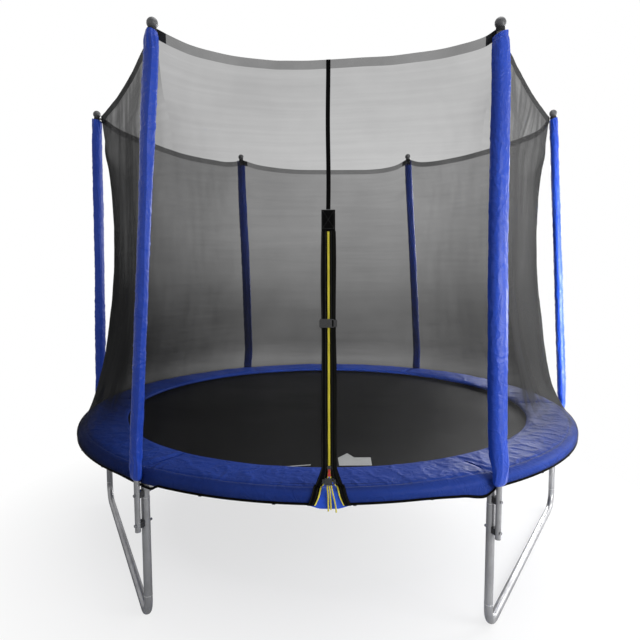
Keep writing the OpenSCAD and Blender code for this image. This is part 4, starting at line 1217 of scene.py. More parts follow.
    def _crumples(self, flat: Points, z: Points, degrees: Points) -> Points:
        """How far the cloth's waves and creases stand out.

        Args:
            flat: the sleeve's points before its folds.
            z: heights.
            degrees: angles round the pole.

        Returns:
            Distances, gathered into small pleats at the ends.
        """
        seed = SLEEVE_SEED + self.pole
        ends = smooth(z, 636, 700) * (1 - 0.5 * smooth(z, 2440, 2500))
        slow = waves(flat, 420, seed, 2, (1.6, 1.6, 0.7)) * 1.3
        fine = creases(flat, 120, seed + 10, 3, (1.4, 1.4, 0.8)) * 1.9 - 0.6
        slant = creases(flat + flat[..., [2, 0, 1]] * 0.5, 70, seed + 20, 2) * 1.3 - 0.4
        gathered = 1.0 if self.top is SleeveTop.GATHERED else 0.3
        near_ends = gathered * bump(z, 2490, 60) + 0.8 * bump(z, 690, 45)
        pleats = np.sin(np.radians(degrees) * 9 + 2 * np.sin(z / 30))
        return self.crumple * (slow + fine + slant) * ends + near_ends * 2.0 * pleats


SLEEVES = (
    Sleeve(0, 0.87, (0, 0), (Fold(-60, -40, 2, 16), Fold(100, 120, 3, 12), Fold(200, 190, 3, 14))),
    Sleeve(1, 0.88, (2, -6), (Fold(-140, -120, 3, 12), Fold(60, 40, 3, 14), Fold(170, 165, 3, 12))),
    Sleeve(2, 0.98, (-5, -11), (Fold(-150, -130, 4, 12), Fold(90, 60, 4, 16), Fold(160, 175, 3, 12))),
    Sleeve(3, 1.0, (-6, 0), (Fold(40, 60, 3.5, 14), Fold(120, 110, 3, 12), Fold(-60, -80, 3, 14))),
    Sleeve(4, 0.78, (0, 0), (Fold(60, 48, 6, 20), Fold(-44, -40, 2, 12), Fold(140, 130, 2, 13)),
           crumple=0.9, top_slack=0.22),
    Sleeve(5, 1.14, (-5.5, -10.5), (Fold(38, 42, 4, 9, 700, 2480), Fold(62, 66, 3.5, 8),
                                    Fold(-112, -118, 2.5, 12), Fold(-8, 12, 3, 16, 700, 1500),
                                    Fold(180, 175, 3, 16)),
           top=SleeveTop.FOLDED, crumple=0.8, top_half=28.0),
)


# ------------------------------------------------------------------ padding over the springs
PAD_SEED = 70


@dataclass
class SpringPad:
    """One sixth of the padded ring that covers the springs, with its skirt."""

    panel: int
    cols: int = 250
    end_gap: float = 0.12
    seam_width: float = 1.0
    seam_r: float = 1488.0

    OUTLINE = ((1518, 658.5), (1508, 661), (1480, 661), (1440, 655), (1350, 653.4), (1266, 652),
               (1259, 657), (1258, 664), (1261, 671), (1271, 675), (1286, 677.4), (1310, 679),
               (1335, 680.6), (1360, 681.5), (1390, 682.2), (1420, 682.5), (1445, 682), (1465, 680.5),
               (1480, 678.5), (1492, 676), (1503, 672.5), (1512, 668.5), (1519, 663.5), (1525, 656.5),
               (1528.6, 648), (1530, 638), (1530.4, 624), (1529.6, 614.5), (1528.4, 615.6),
               (1527.6, 630), (1527, 642), (1523.5, 651.5))

    def build(self, finishes: Finishes) -> list[bpy.types.Object]:
        """Makes the pad and its stitches.

        Args:
            finishes: the materials.

        Returns:
            The objects.
        """
        name = SIDES[self.panel]
        outline = self._dense(np.array(self.OUTLINE, float), 3)
        start = STEP * self.panel + self.end_gap
        degrees = np.linspace(start, start + STEP - 2 * self.end_gap, self.cols)
        points = self._surface(outline, degrees)
        data = MeshData().grid(np.concatenate([points, points[:1]], 0), flip=True)
        middle = points.mean(0)
        for col in (0, -1):
            ring = points[:, col]
            centre = np.broadcast_to(middle[col], ring.shape)
            face = np.stack([np.concatenate([ring, ring[:1]]),
                             np.concatenate([centre, centre[:1]])], 1)
            data.grid(face, flip=col == -1)
        pad = keep(data.done(f"pad_{name}", finishes[Kind.PAD], merge=0.01, sharp=75),
                   f"spring_pad_{name}")
        made = [pad]
        for label, row_r in (("outer", self.seam_r), ("outer_b", self.seam_r + 7)):
            row = int(np.argmin(np.abs(outline[:, 0] - row_r) + 50 * (outline[:, 1] < 668)))
            path = points[row, 2:-2] + np.array([0, 0, 0.35])
            made.append(keep(SCATTER.along(f"pad_stitches_{label}_{name}", path, 5.2, 3.6, 0.45,
                                           finishes[Kind.THREAD])))
        LOG.info("pad %s: %d columns", name, self.cols)
        return made

    def _surface(self, outline: Points, degrees: Points) -> Points:
        """The pad's skin: a filled top that is pulled in at its seams, and a hanging skirt.

        Args:
            outline: (radius, height) rows of its section.
            degrees: angles of its columns.

        Returns:
            The points, (rows, columns, 3).
        """
        end = np.minimum(degrees - degrees[0], degrees[-1] - degrees)
        radius = np.broadcast_to(outline[:, :1], (len(outline), self.cols)).copy()
        height = np.broadcast_to(outline[:, 1:], radius.shape).copy()
        at = around(radius, degrees[None], height)
        top = smooth(height, 672, 679) * (radius > 1262)
        near = np.exp(-(end / self.seam_width) ** 2)[None]
        beside = np.exp(-((end - 1.3) / 1.5) ** 2)[None]
        height -= top * near * (5.5 * smooth(radius, 1262, 1320))
        seed = PAD_SEED + self.panel
        wide = waves(at, 700, seed, 2, (1, 1, 0)) * 3.2
        soft = waves(at, 230, seed + 9, 2, (1, 1, 0)) * 1.6
        crumpled = creases(at, 190, seed + 20, 3, (1, 1, 0)) * 3.4 - 1.2
        radial = np.sin(np.radians(degrees)[None] * 155 + waves(at, 300, seed + 30, 2) * 4)
        stitched = bump(radius, self.seam_r, 9) + 0.7 * bump(radius, 1276, 10)
        rise = wide + soft + crumpled + radial * (1.3 * stitched + 2.4 * near + 0.9 * beside)
        rise += -3.4 * bump(radius, self.seam_r, 4.5)
        rise -= 1.6 * bump(radius, 1272, 4)
        height += top * np.clip(rise, -5.5, 4.2) * (1 - 0.4 * near)
        skirt = (radius > 1522) * smooth(height, 660, 640)
        flutter = waves(at, 260, seed + 40, 3, (1, 1, 0.5)) * 1.0
        outer = skirt * (outline[:, 0] > 1528.2)[:, None]
        radius += outer * np.clip(flutter, -0.4, 1.4)
        if self.panel == FRONT:
            slit = np.abs(degrees - (360 + DOOR_TURN)) * math.pi / 180 * 1529
            hang = (1 - smooth(slit, 30, 92))[None]
            height -= skirt * hang * 13 * smooth(height, 664, 620)
            radius += outer * hang * 1.6
        height -= skirt * PAD_DROOP(degrees)[None] * smooth(height, 655, 620)
        inner = (height < 676) & (radius < 1280)
        radius += inner * waves(at, 320, seed + 50, 2, (1, 1, 0)) * 2.0
        return around(radius, degrees[None], height)

    @staticmethod
    def _dense(rows: Points, times: int) -> Points:
        """The outline with more points, rounded by averaging between them.

        Args:
            rows: its points.
            times: how often.

        Returns:
            The denser outline.
        """
        closed = np.concatenate([rows, rows[:1]])
        t = np.arange(len(rows) * times) / times
        dense = np.stack([np.interp(t, np.arange(len(closed)), closed[:, k]) for k in (0, 1)], -1)
        return (np.roll(dense, 1, 0) + 2 * dense + np.roll(dense, -1, 0)) / 4


# ------------------------------------------------------------------ repeated things
class Scatter:
    """Geometry Nodes trees that put a small shape along a line or on given points."""

    def __init__(self) -> None:
        """Starts without the trees, which are made when they are first needed."""
        self.line_tree: Optional[tuple[bpy.types.NodeTree, dict[str, str]]] = None
        self.copy_tree: Optional[tuple[bpy.types.NodeTree, dict[str, str]]] = None

    @staticmethod
    def _start(name: str, labels: dict[str, str]) -> tuple[Nodes, dict, dict[str, str]]:
        """Starts a tree with named inputs.

        Args:
            name: the tree's name.
            labels: the inputs' names and kinds; a material comes last.

        Returns:
            Its nodes, the input sockets by name and their identifiers by name.
        """
        tree = bpy.data.node_groups.new(name, "GeometryNodeTree")
        tree.interface.new_socket("Geometry", in_out="INPUT", socket_type="NodeSocketGeometry")
        known = {label: tree.interface.new_socket(label, in_out="INPUT",
                                                  socket_type=f"NodeSocket{kind}").identifier
                 for label, kind in {**labels, "Material": "Material"}.items()}
        tree.interface.new_socket("Geometry", in_out="OUTPUT", socket_type="NodeSocketGeometry")
        nodes = Nodes(tree)
        return nodes, {s.name: s for s in nodes.add("NodeGroupInput").outputs}, known

    @staticmethod
    def _end(nodes: Nodes, given: dict, put: bpy.types.Node) -> None:
        """Ends a tree: its instances become real and get their material.

        Args:
            nodes: the tree's nodes.
            given: its inputs.
            put: what makes the instances.
        """
        real = nodes.add("GeometryNodeRealizeInstances", Geometry=put.outputs[0])
        paint = nodes.add("GeometryNodeSetMaterial", Geometry=real.outputs[0],
                          Material=given["Material"])
        nodes.tree.links.new(paint.outputs[0], nodes.add("NodeGroupOutput").inputs[0])

    def _line(self) -> tuple[bpy.types.NodeTree, dict[str, str]]:
        """The tree that resamples a line and puts capsules along it.

        Returns:
            The tree and its sockets' identifiers by name.
        """
        nodes, given, known = self._start("stitches", {"Pitch": "Float", "Length": "Float",
                                                       "Radius": "Float"})
        curve = nodes.add("GeometryNodeMeshToCurve", Mesh=given["Geometry"])
        spots = nodes.add("GeometryNodeResampleCurve", {"mode": "LENGTH"}, Curve=curve.outputs[0],
                          Length=given["Pitch"])
        cup = nodes.add("GeometryNodeMeshCylinder", Vertices=6, Side_Segments=1, Fill_Segments=1,
                        Radius=given["Radius"], Depth=given["Length"])
        tangent = nodes.add("GeometryNodeInputTangent").outputs[0]
        turn = nodes.add("FunctionNodeAlignRotationToVector", {"axis": "Z"}, Vector=tangent)
        put = nodes.add("GeometryNodeInstanceOnPoints", Points=spots.outputs[0],
                        Instance=cup.outputs["Mesh"], Rotation=turn.outputs[0])
        self._end(nodes, given, put)
        return nodes.tree, known

    def along(self, name: str, path: Points, pitch: float, length: float, radius: float,
              finish: bpy.types.Material) -> bpy.types.Object:
        """Puts short round stitches along a line.

        Args:
            name: the object's name.
            path: points of the line, (points, 3).
            pitch: distance from one stitch to the next.
            length: length of one stitch.
            radius: radius of the thread.
            finish: its material.

        Returns:
            The object.
        """
        if self.line_tree is None:
            self.line_tree = self._line()
        mesh = bpy.data.meshes.new(name + "_line")
        mesh.from_pydata(lifted(path) * MM, [(k, k + 1) for k in range(len(path) - 1)], [])
        return self.run(name, mesh, self.line_tree, {"Pitch": pitch * MM, "Length": length * MM,
                                                     "Radius": radius * MM, "Material": finish})

    def _copies(self) -> tuple[bpy.types.NodeTree, dict[str, str]]:
        """The tree that repeats a shape, turned and shifted a little more each time.

        Returns:
            The tree and its sockets' identifiers by name.
        """
        nodes, given, known = self._start("copies", {"Count": "Int", "Start": "Float",
                                                     "Turn": "Float", "Shift": "Vector"})
        spots = nodes.add("GeometryNodeMeshLine", {"mode": "OFFSET"}, Count=given["Count"],
                          Offset=given["Shift"])
        index = nodes.add("GeometryNodeInputIndex").outputs[0]
        angle = nodes.math("ADD", given["Start"], nodes.math("MULTIPLY", given["Turn"], index))
        turned = nodes.add("ShaderNodeCombineXYZ", Z=angle)
        put = nodes.add("GeometryNodeInstanceOnPoints", Points=spots.outputs[0],
                        Instance=given["Geometry"], Rotation=turned.outputs[0])
        self._end(nodes, given, put)
        return nodes.tree, known

    def repeat(self, name: str, shape: MeshData, count: int, start: float, turn: float,
               shift: Vector, finish: bpy.types.Material) -> bpy.types.Object:
        """Repeats a shape round the middle or along a line.

        Args:
            name: the object's name.
            shape: the first one, before its turn.
            count: how many there are.
            start: turn of the first, in degrees.
            turn: further turn of each next one, in degrees.
            shift: further shift of each next one, in millimetres.
            finish: its material.

        Returns:
            The object.
        """
        if self.copy_tree is None:
            self.copy_tree = self._copies()
        one = shape.done(name + "_one", finish, closed=True)
        mesh = one.data
        bpy.data.objects.remove(one)
        inputs = {"Count": count, "Start": math.radians(start), "Turn": math.radians(turn),
                  "Shift": tuple(shift * MM), "Material": finish}
        return self.run(name, mesh, self.copy_tree, inputs)

    @staticmethod
    def run(name: str, mesh: bpy.types.Mesh, tree: tuple[bpy.types.NodeTree, dict[str, str]],
            inputs: dict[str, object]) -> bpy.types.Object:
        """Runs a tree on a mesh and keeps the result as a plain mesh.

        Args:
            name: the object's name.
            mesh: what the tree starts from.
            tree: the Geometry Nodes tree and its sockets' identifiers by name.
            inputs: values by name.

        Returns:
            The object, without a modifier.
        """
        start = show(name + "_start", mesh)
        modifier = start.modifiers.new("scatter", "NODES")
        modifier.node_group = tree[0]
        for label, value in inputs.items():
            modifier[tree[1][label]] = value
        bpy.context.view_layer.update()
        seen = start.evaluated_get(bpy.context.evaluated_depsgraph_get())
        plain = bpy.data.meshes.new_from_object(seen)
        plain.name = name
        bpy.data.objects.remove(start)
        plain.shade_smooth()
        plain.set_sharp_from_angle(angle=math.radians(50))
        return show(name, plain)


SCATTER = Scatter()


# ------------------------------------------------------------------ the net
NET_SEED = 110


@dataclass
class NetPanel:
    """One panel of the net between two poles, a single sheet with a hem and a lower binding."""

    panel: int
    shape: NetShape
    cols: int = 100

    def build(self, finishes: Finishes) -> bpy.types.Object:
        """Makes the panel.

        Args:
            finishes: the materials.

        Returns:
            The object.
        """
        z = np.concatenate([np.linspace(NET_FOOT_Z, 800, 34)[:-1],
                            np.linspace(800, HEM_DROP_Z, 60)[:-1],
                            np.linspace(HEM_DROP_Z, NET_HEM_Z, 48)[:-1],
                            NET_HEM_Z + np.array([0, 2, 22, 42, 44])])
        rows = z[:, None]
        slots = np.where(z[:-1] >= NET_HEM_Z, 1, 0)
        slots = np.where(z[:-1] < NET_BINDING_Z, 2, slots)
        data = MeshData()
        if self.panel == FRONT:
            slit = np.degrees((DOOR_INNER(rows) + 8) / DOOR_R) / HALF_STEP * (rows < ZIP_TOP_Z)
            t = np.linspace(0, 1, self.cols // 2)[None]
            halves = (-1 + (1 - slit) * t, slit + (1 - slit) * t)
        else:
            halves = (np.linspace(-1, 1, self.cols)[None] + 0 * rows,)
        for s in halves:
            flat = self.shape.points(self.panel, s, rows)
            points = self.shape.points(self.panel, s, rows, self.lift(flat, s, rows))
            across = np.radians(s * HALF_STEP) * NET_UV_R
            uv = spread(across, rows - 616)
            data.grid(points, uv=uv, slot=slots)
        name = SIDES[self.panel]
        made = data.done(f"net_{name}", finishes[Kind.NET], finishes[Kind.HEM],
                         finishes[Kind.WEBBING], merge=0.05, sharp=180)
        keep(made, f"net_panel_{name}")
        LOG.info("net panel %s", name)
        return made

    def lift(self, flat: Points, s: Points, z: Points) -> Points:
        """Soft folds of the cloth, none where it is sewn or held.

        Args:
            flat: the points without folds.
            s: their places across the panel, -1 to 1.
            z: their rows.

        Returns:
            Distances outwards.
        """
        seed = NET_SEED + self.panel
        free = (1 - np.abs(s) ** 6) * smooth(z, 760, 900) * (1 - 0.7 * smooth(z, 2460, 2520))
        if self.panel == FRONT:
            away = np.abs(s) * HALF_STEP * math.pi / 180 * DOOR_R
            free = free * smooth(away, 34, 160)
        slow = waves(flat, 600, seed, 2, (1, 1, 0.35)) * 4.0
        fine = waves(flat, 130, seed + 6, 2, (1, 1, 0.22)) * 1.5
        pulled = creases(flat, 240, seed + 12, 2, (1, 1, 0.6)) * 2.6 * smooth(np.abs(s), 0.35, 0.8)
        return free * (slow + fine + pulled)


@dataclass
class NetFittings:
    """Webbing on the net: the corner straps and the door's straps, bands and zip."""

    shape: NetShape
    finishes: Finishes
    scatter: Scatter
    strap_width: float = 17.0
    wing: float = 36.0
    wing_foot_z: float = 2498.0
    loop_radii: tuple[float, float] = (16.4, 18.5)
    strap_z: tuple[float, float] = (1792.0, 2539.0)
    patch: tuple[float, float, float] = (29.0, 1020.5, 1115.0)  # half width, foot, top
    patch_seam: tuple[float, float, float] = (24.0, 1032.0, 1110.0)
    chain: tuple[float, float] = (46.0, 1022.0)  # its ends along the zip
    teeth: int = 324
    tooth_pitch: float = 3.0
    made: list[bpy.types.Object] = field(default_factory=list)

    def build(self) -> list[bpy.types.Object]:
        """Makes all of them.

        Returns:
            The objects.
        """
        self._corners()
        self._strap()
        self._bands()
        self._zip()
        return self.made

    def _keep(self, piece: bpy.types.Object, node: str = "") -> None:
        """Fixes a piece to the frame and remembers it; node is what it stands for."""
        self.made.append(keep(piece, node))

    def _stitches(self, name: str, path: Points, pitch: float, length: float) -> None:
        """Sews a row of dark stitches along a line, and keeps it."""
        self._keep(self.scatter.along(name, path, pitch, length, 0.4,
                                      self.finishes[Kind.DARK_THREAD]))

    def _across(self, end: int, wing: float, count: int, clear: float = 0.0) -> Points:
        """Places across a panel from its end, -1 or 1, to a wing's width from it.

        Args:
            end: -1 or 1.
            wing: the width in mm.
            count: how many.
            clear: left free at the end.

        Returns:
            Places from -1 to 1.
        """
        wide = math.degrees(wing / float(NET_CORNER(HEM_CORNER_Z))) / HALF_STEP
        if end > 0:
            return np.linspace(1 - wide, 1 - clear, count)
        return np.linspace(-1 + clear, -1 + wide, count)

    def _corners(self) -> None:
        """Two wings, a link and a loop round the cap's neck at each pole, and their stitches."""
        data = MeshData()
        for pole in range(POLES):
            for panel, end in (((pole - 1) % POLES, 1), (pole, -1)):
                rows = np.linspace(self.wing_foot_z, HEM_CORNER_Z - 1, 8)[:, None]
                s = self._across(end, self.wing, 16)[None] + 0 * rows
                pucker = 0.5 * waves(self.shape.points(panel, s, rows), 40, 160 + pole, 2)
                data.slab(self.shape.points(panel, s, rows, 1.3 + pucker), 1.9)
            self._neck_loop(data, pole)
            self._links(data, pole)
        made = data.done("net_corner_webbing", self.finishes[Kind.CORNER], merge=0.01, closed=True)
        self._keep(made, "net_corner_straps")
        for pole in range(POLES):
            for label, row_z in (("low", self.wing_foot_z + 3), ("high", HEM_CORNER_Z - 4)):
                line = [self.shape.points(panel, self._across(end, self.wing - 2, 12, 0.001),
                                          np.full(12, row_z), 3.5)
                        for panel, end in (((pole - 1) % POLES, 1), (pole, -1))]
                self._stitches(f"corner_stitches_{label}_{POLE_NAMES[pole]}",
                               np.concatenate(line), 4.5, 3.0)
        LOG.info("corner webbing on %d poles", POLES)

    def _neck_loop(self, data: MeshData, pole: int) -> None:
        """Adds the loop round a cap's neck.

        Args:
            data: where it goes.
            pole: the pole's number.
        """
        neck = pole_matrix(pole, POLE_TOP_W - 2)
        degrees = np.arange(40)[None] * 9.0
        inner, outer, tall = self.loop_radii[0], self.loop_radii[1], 16.0
        for radius, flip in ((outer, False), (inner, True)):
            data.grid(placed(around(np.full((3, 1), radius), degrees,
                                    np.array([[0.0], [tall / 2], [tall]])), neck),
                      ring=True, flip=flip)
        for height in (0.0, tall):
            data.grid(placed(around(np.array([[inner], [outer]]), degrees, height), neck),
                      ring=True, flip=height == 0.0)

    @staticmethod
    def _links(data: MeshData, pole: int) -> None:
        """Adds the two short straps between the net's corner and the loop.

        Args:
            data: where they go.
            pole: the pole's number.
        """
        corner_r = float(NET_CORNER(HEM_CORNER_Z))
        shift = CORNER_SHIFTS[pole]
        angle = STEP * pole + NET_TURN + math.degrees(shift[1] / corner_r)
        r0 = corner_r + shift[0] + 1.5
        top = float(HEMS[pole](-1.0))
        path_r, path_w = np.linspace(r0, r0 + 9.0, 5)[:, None], np.linspace(-9, 9, 7)[None]
        across = np.degrees(path_w / path_r)
        droop = -2.5 * np.sin(np.linspace(0, math.pi, 5))[:, None]
        rise = np.linspace(0, HEM_CORNER_Z - top, 5)[:, None]
        for level in (top - 21.0, top - 14.5):
            data.slab(around(path_r, angle - across, level + rise + droop + 0 * path_w), 1.6)

    def _strap(self) -> None:
        """The strap from the hem to the patch above the zip, and the patch."""
        data = MeshData()
        rows = np.linspace(*self.strap_z, 92)[:, None]
        y = np.linspace(-1, 1, 5)[None] * self.strap_width / 2 + 1.2 * np.sin(rows / 95)
        data.slab(self.shape.beside_door(y, rows, 1.2), 1.8)
        door = door_matrix()
        half, foot, top = self.patch
        v = np.linspace(foot, top, 24)[:, None]
        across = np.linspace(-half, half, 18)[None]
        edge = np.minimum(half - np.abs(across), np.minimum(v - foot, top - v))
        out = 1.2 + 4.4 * smooth(edge, -2.5, 3.5) - 0.9 * bump(edge, 5, 1.6)
        grid = placed(spread(out, across, v), door)
        data.grid(grid)
        back = placed(spread(0 * out + 1.2, across, v), door)
        data.grid(back, flip=True)
        rim = [(0, slice(None)), (slice(None), -1), (-1, slice(None)), (slice(None), 0)]
        for edge_at, flip in zip(rim, (True, True, False, False)):
            data.grid(np.stack([grid[edge_at], back[edge_at]]), flip=flip)
        made = data.done("door_strap_webbing", self.finishes[Kind.WEBBING], merge=0.01, closed=True)
        self._keep(made, "door_strap")
        half, foot, top = self.patch_seam
        square = [(-half, foot), (half, foot), (half, top), (-half, top), (-half, foot)]
        for index, route in enumerate([square, square[:3:2], square[1:4:2]]):
            path = np.array([(6.1, *p) for p in route], float)
            path = np.concatenate([np.linspace(a, b, 12)[:-1] for a, b in zip(path[:-1], path[1:])]
                                  + [path[-1:]])
            self._stitches(f"patch_stitches_{index}", placed(path, door), 4.2, 2.8)
        LOG.info("door strap and patch")

    @staticmethod
    def _band_y(z: Points, mirror: int, t: Points) -> Points:
        """Sideways places on a band of the door.

        Args:
            z: the heights.
            mirror: -1 on the left, 1 on the right.
            t: from 0 to 1 outwards.

        Returns:
            Distances in mm from the door's middle.
        """
        inner, outer = DOOR_INNER(z), DOOR_OUTER(z)
        wander = 1.6 * np.sin(z / 82 + mirror) * smooth(z, 780, 900)
        return mirror * (inner + (outer - inner) * t) + wander * t

    def _bands(self) -> None:
        """The two webbing bands beside the zip, spread over the pad's edge."""
        data = MeshData()
        z = np.concatenate([np.linspace(NET_FOOT_Z, 780, 56)[:-1],
                            np.linspace(780, ZIP_TOP_Z - 2, 180)])[:, None]
        for mirror in (-1, 1):
            t = np.linspace(0, 1, 9)[None]
            if mirror < 0:
                t = 1 - t
            y = self._band_y(z, mirror, t)
            curl = 1.1 * np.abs(np.sin(z / 61 + 2 * mirror)) * t**3 * smooth(z, 760, 860)
            flare = 1.5 * (1 - smooth(z, 640, 700)) * np.sin(t * math.pi)
            data.slab(self.shape.beside_door(y, z, 1.2 + curl + flare), 2.2)
        made = data.done("zip_band_webbing", self.finishes[Kind.BAND], merge=0.01, closed=True)
        self._keep(made, "zip_bands")
        for mirror in (-1, 1):
            for label, place in (("inner", 0.3), ("outer", 0.9)):
                y = self._band_y(z[:, 0], mirror, place)
                side = "left" if mirror < 0 else "right"
                self._stitches(f"band_stitches_{label}_{side}",
                               self.shape.beside_door(y, z[:, 0], 4.3), 4.4, 3.0)
        LOG.info("zip bands")

    def _zip(self) -> None:
        """The closed chain, its teeth and the two loose tapes below the slider."""
        data = MeshData()
        door = door_matrix()
        v = np.linspace(*self.chain, 150)[:, None]
        y = np.linspace(-5.2, 5.2, 5)[None] + 0.7 * np.sin(v / 60)
        out = -0.6 + 0.25 * np.sin(v / 23)
        data.slab(placed(spread(out, y, v), door), 2.0)
        z = np.linspace(NET_FOOT_Z, 745, 48)[:, None]
        for mirror in (-1, 1):
            t = np.linspace(0, 1, 4)[None]
            t = 1 - t if mirror > 0 else t
            side = mirror * (DOOR_INNER(z) - 0.3 - 4.7 * t)
            data.slab(self.shape.beside_door(side, z, 0.4 + 0.8 * (1 - t) * (z < 700)), 1.9)
        made = data.done("zip_chain_tape", self.finishes[Kind.TAPE], merge=0.01, closed=True)
        teeth = []
        first = self.chain[0] + 1
        for name, start in (("left", first), ("right", first + self.tooth_pitch / 2)):
            flip = 1 if name == "left" else -1
            base = np.array([(2.5, -2.5 * flip, start), (2.5, 0.9 * flip, start)])
            shape = MeshData().tube(placed(base, door), 0.8, 6)
            ends = placed(np.array([[0, 0, self.tooth_pitch], [0, 0, 0]]), door)
            teeth.append(self.scatter.repeat(f"zip_teeth_{name}", shape, self.teeth, 0.0, 0.0,
                                             Vector(ends[0] - ends[1]), self.finishes[Kind.TAPE]))
        for one in [made, *teeth]:
            self._keep(one, "zip_tape")
        LOG.info("zip chain with %d teeth a side", self.teeth)


# ------------------------------------------------------------------ the jumping mat and its springs
@dataclass
class Bed:
    """The jumping mat, its edge band with loops and rings, and sixty springs."""

    finishes: Finishes
    scatter: Scatter
    springs: int = 60
    spring_turn: float = 6.0
    first_turn: float = 3.0
    rail_z: float = 640.0
    mat_r: float = 1320.0
    mat_z: float = 639.2
    band_r: tuple[float, float] = (1328.0, 1294.0)
    stitch_z: float = 642.6
    wire: float = 1.8
    coil: float = 8.7
    turns: int = 20

    def build(self) -> None:
        """Makes all of it."""
        mat, sewn = self._mat(), self._band()
        self._labels() + sewn
        self._rings()
        self._springs()

    def _mat(self) -> bpy.types.Object:
        """The woven mat.

        Returns:
            The object.
        """
        radius = np.concatenate([np.linspace(self.mat_r, 1270, 6)[:-1],
                                 np.linspace(1270, 1, 40)])[:, None]
        degrees = (np.arange(150) * 2.4)[None]
        flat = around(radius, degrees, 0.0)
        sag = -1.4 * (1 - (radius / self.mat_r) ** 2) + waves(flat, 900, 7, 2) * 0.9
        points = around(radius, degrees, self.mat_z + sag * smooth(radius, self.mat_r, 1200))
        data = MeshData().slab(points, 1.7, uv=points[..., :2], ring=True)
        mat = data.done("mat", self.finishes[Kind.MAT], merge=0.01, closed=True)
        LOG.info("mat, %.0f mm across", 2 * self.mat_r)
        return keep(mat, "jumping_mat", "mat")

    def _labels(self) -> list[bpy.types.Object]:
        """A blank label and a blank strip sewn on the mat.

        Returns:
            The objects.
        """
        labels = []
        patch = [(1158, 275.0), (1172, 282.4), (1065, 283.6), (1054, 279.4), (988.6, 278.0),
                 (1052, 275.1)]
        strip = [(1196, 262.3), (1153, 268.5), (1143, 268.4), (1186, 262.2)]
        for name, corners in (("blank_label", patch), ("blank_strip", strip)):
            rim = np.array([around(r, a, 640.9)[()] for r, a in corners])
            middle = rim.mean(0)
            share = np.linspace(1, 0.02, 12)[:, None, None]
            dense = np.concatenate([np.linspace(a, b, 8)[:-1]
                                    for a, b in zip(rim, np.roll(rim, -1, 0))])
            grid = middle + (dense[None] - middle) * share
            grid[..., 2] += 0.5 + 0.7 * np.abs(waves(grid, 90, 31, 2)) * (1 - share[..., 0])
            label = MeshData().slab(grid[:, ::-1] if name == "blank_strip" else grid, 0.5, ring=True)
            made = label.done(name, self.finishes[Kind.LABEL], merge=0.005, closed=True)
            labels.append(keep(made, body="mat"))
        return labels

    def _band(self) -> list[bpy.types.Object]:
        """The webbing round the mat's edge, its stitch lines and the loops for the rings.

        Returns:
            The objects.
        """
        radius = np.linspace(*self.band_r, 7)[:, None]
        degrees = (np.arange(360) * 1.0)[None]
        ripple = 0.25 * np.sin(np.radians(degrees) * 60) * smooth(radius, 1310, self.band_r[0])
        data = MeshData().slab(around(radius, degrees, 641.0 + ripple), 1.4, ring=True)
        band = data.done("mat_band_webbing", self.finishes[Kind.WEBBING], merge=0.01, closed=True)
        loop = [(1308, 642.6), (1318, 643.0), (1326, 643.3), (1330.6, 642), (1332, 639),
                (1330.4, 636.2), (1326, 635), (1318, 635.2), (1310, 636.6)]
        path = rounded(np.array([(r, 0.0, z) for r, z in loop], float), 2)
        rows = np.stack([path + np.array([0, w, 0]) for w in np.linspace(-11, 11, 5)], 1)
        tabs = self._round_the_mat("mat_band_loops", MeshData().slab(rows, 0.9), Kind.WEBBING)
        made = [keep(one, "mat_band", "mat") for one in (band, tabs)]
        for name, radius_at in (("inner", 1298.0), ("middle", 1311.0), ("outer", 1323.0)):
            ring = around(np.full(721, radius_at), np.linspace(0, 360, 721), self.stitch_z)
            row = self.scatter.along(f"mat_stitches_{name}", ring, 6.5, 4.4, 0.45,
                                     self.finishes[Kind.DARK_THREAD])
            made.append(keep(row, body="mat"))
        return made

    def _round_the_mat(self, name: str, shape: MeshData, kind: Kind) -> bpy.types.Object:
        """Repeats a shape at every spring."""
        return self.scatter.repeat(name, shape, self.springs, self.first_turn, self.spring_turn,
                                   Vector((0, 0, 0)), self.finishes[kind])

    def _rings(self) -> None:
        """The triangular wire rings in the loops."""
        outline = [(1326.5, 15), (1326.5, -15), (1329, -17.3), (1332, -16.2), (1353.5, -4.6),
                   (1355.4, -2), (1355.4, 2), (1353.5, 4.6), (1332, 16.2), (1329, 17.3)]
        path = np.array([(r, w, 639.0) for r, w in outline])
        path = rounded(np.concatenate([path, path[:1]]), 2)[:-1]
        ring = MeshData().tube(path, 1.6, 8, closed=True)
        keep(self._round_the_mat("mat_wire_rings", ring, Kind.SPRING), "mat_rings", "mat")

    def _springs(self) -> None:
        """Sixty close-wound springs, each hooked into a ring and a hole in the rail."""
        path = self._spring_path()
        for index in range(self.springs):
            angle = self.spring_turn * index + self.first_turn
            turn = Matrix.Rotation(math.radians(angle), 4, "Z")
            data = MeshData().tube(placed(path, turn), self.wire, 6)
            made = data.done(f"spring_{index:02d}", self.finishes[Kind.SPRING], sharp=180)
            inner, outer = (Vector(lifted(around(r, angle, self.rail_z))) * MM
                            for r in (1358.0, 1488.0))
            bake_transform(made)
            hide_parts("springs")
        LOG.info("%d springs of %d coils", self.springs, self.turns)

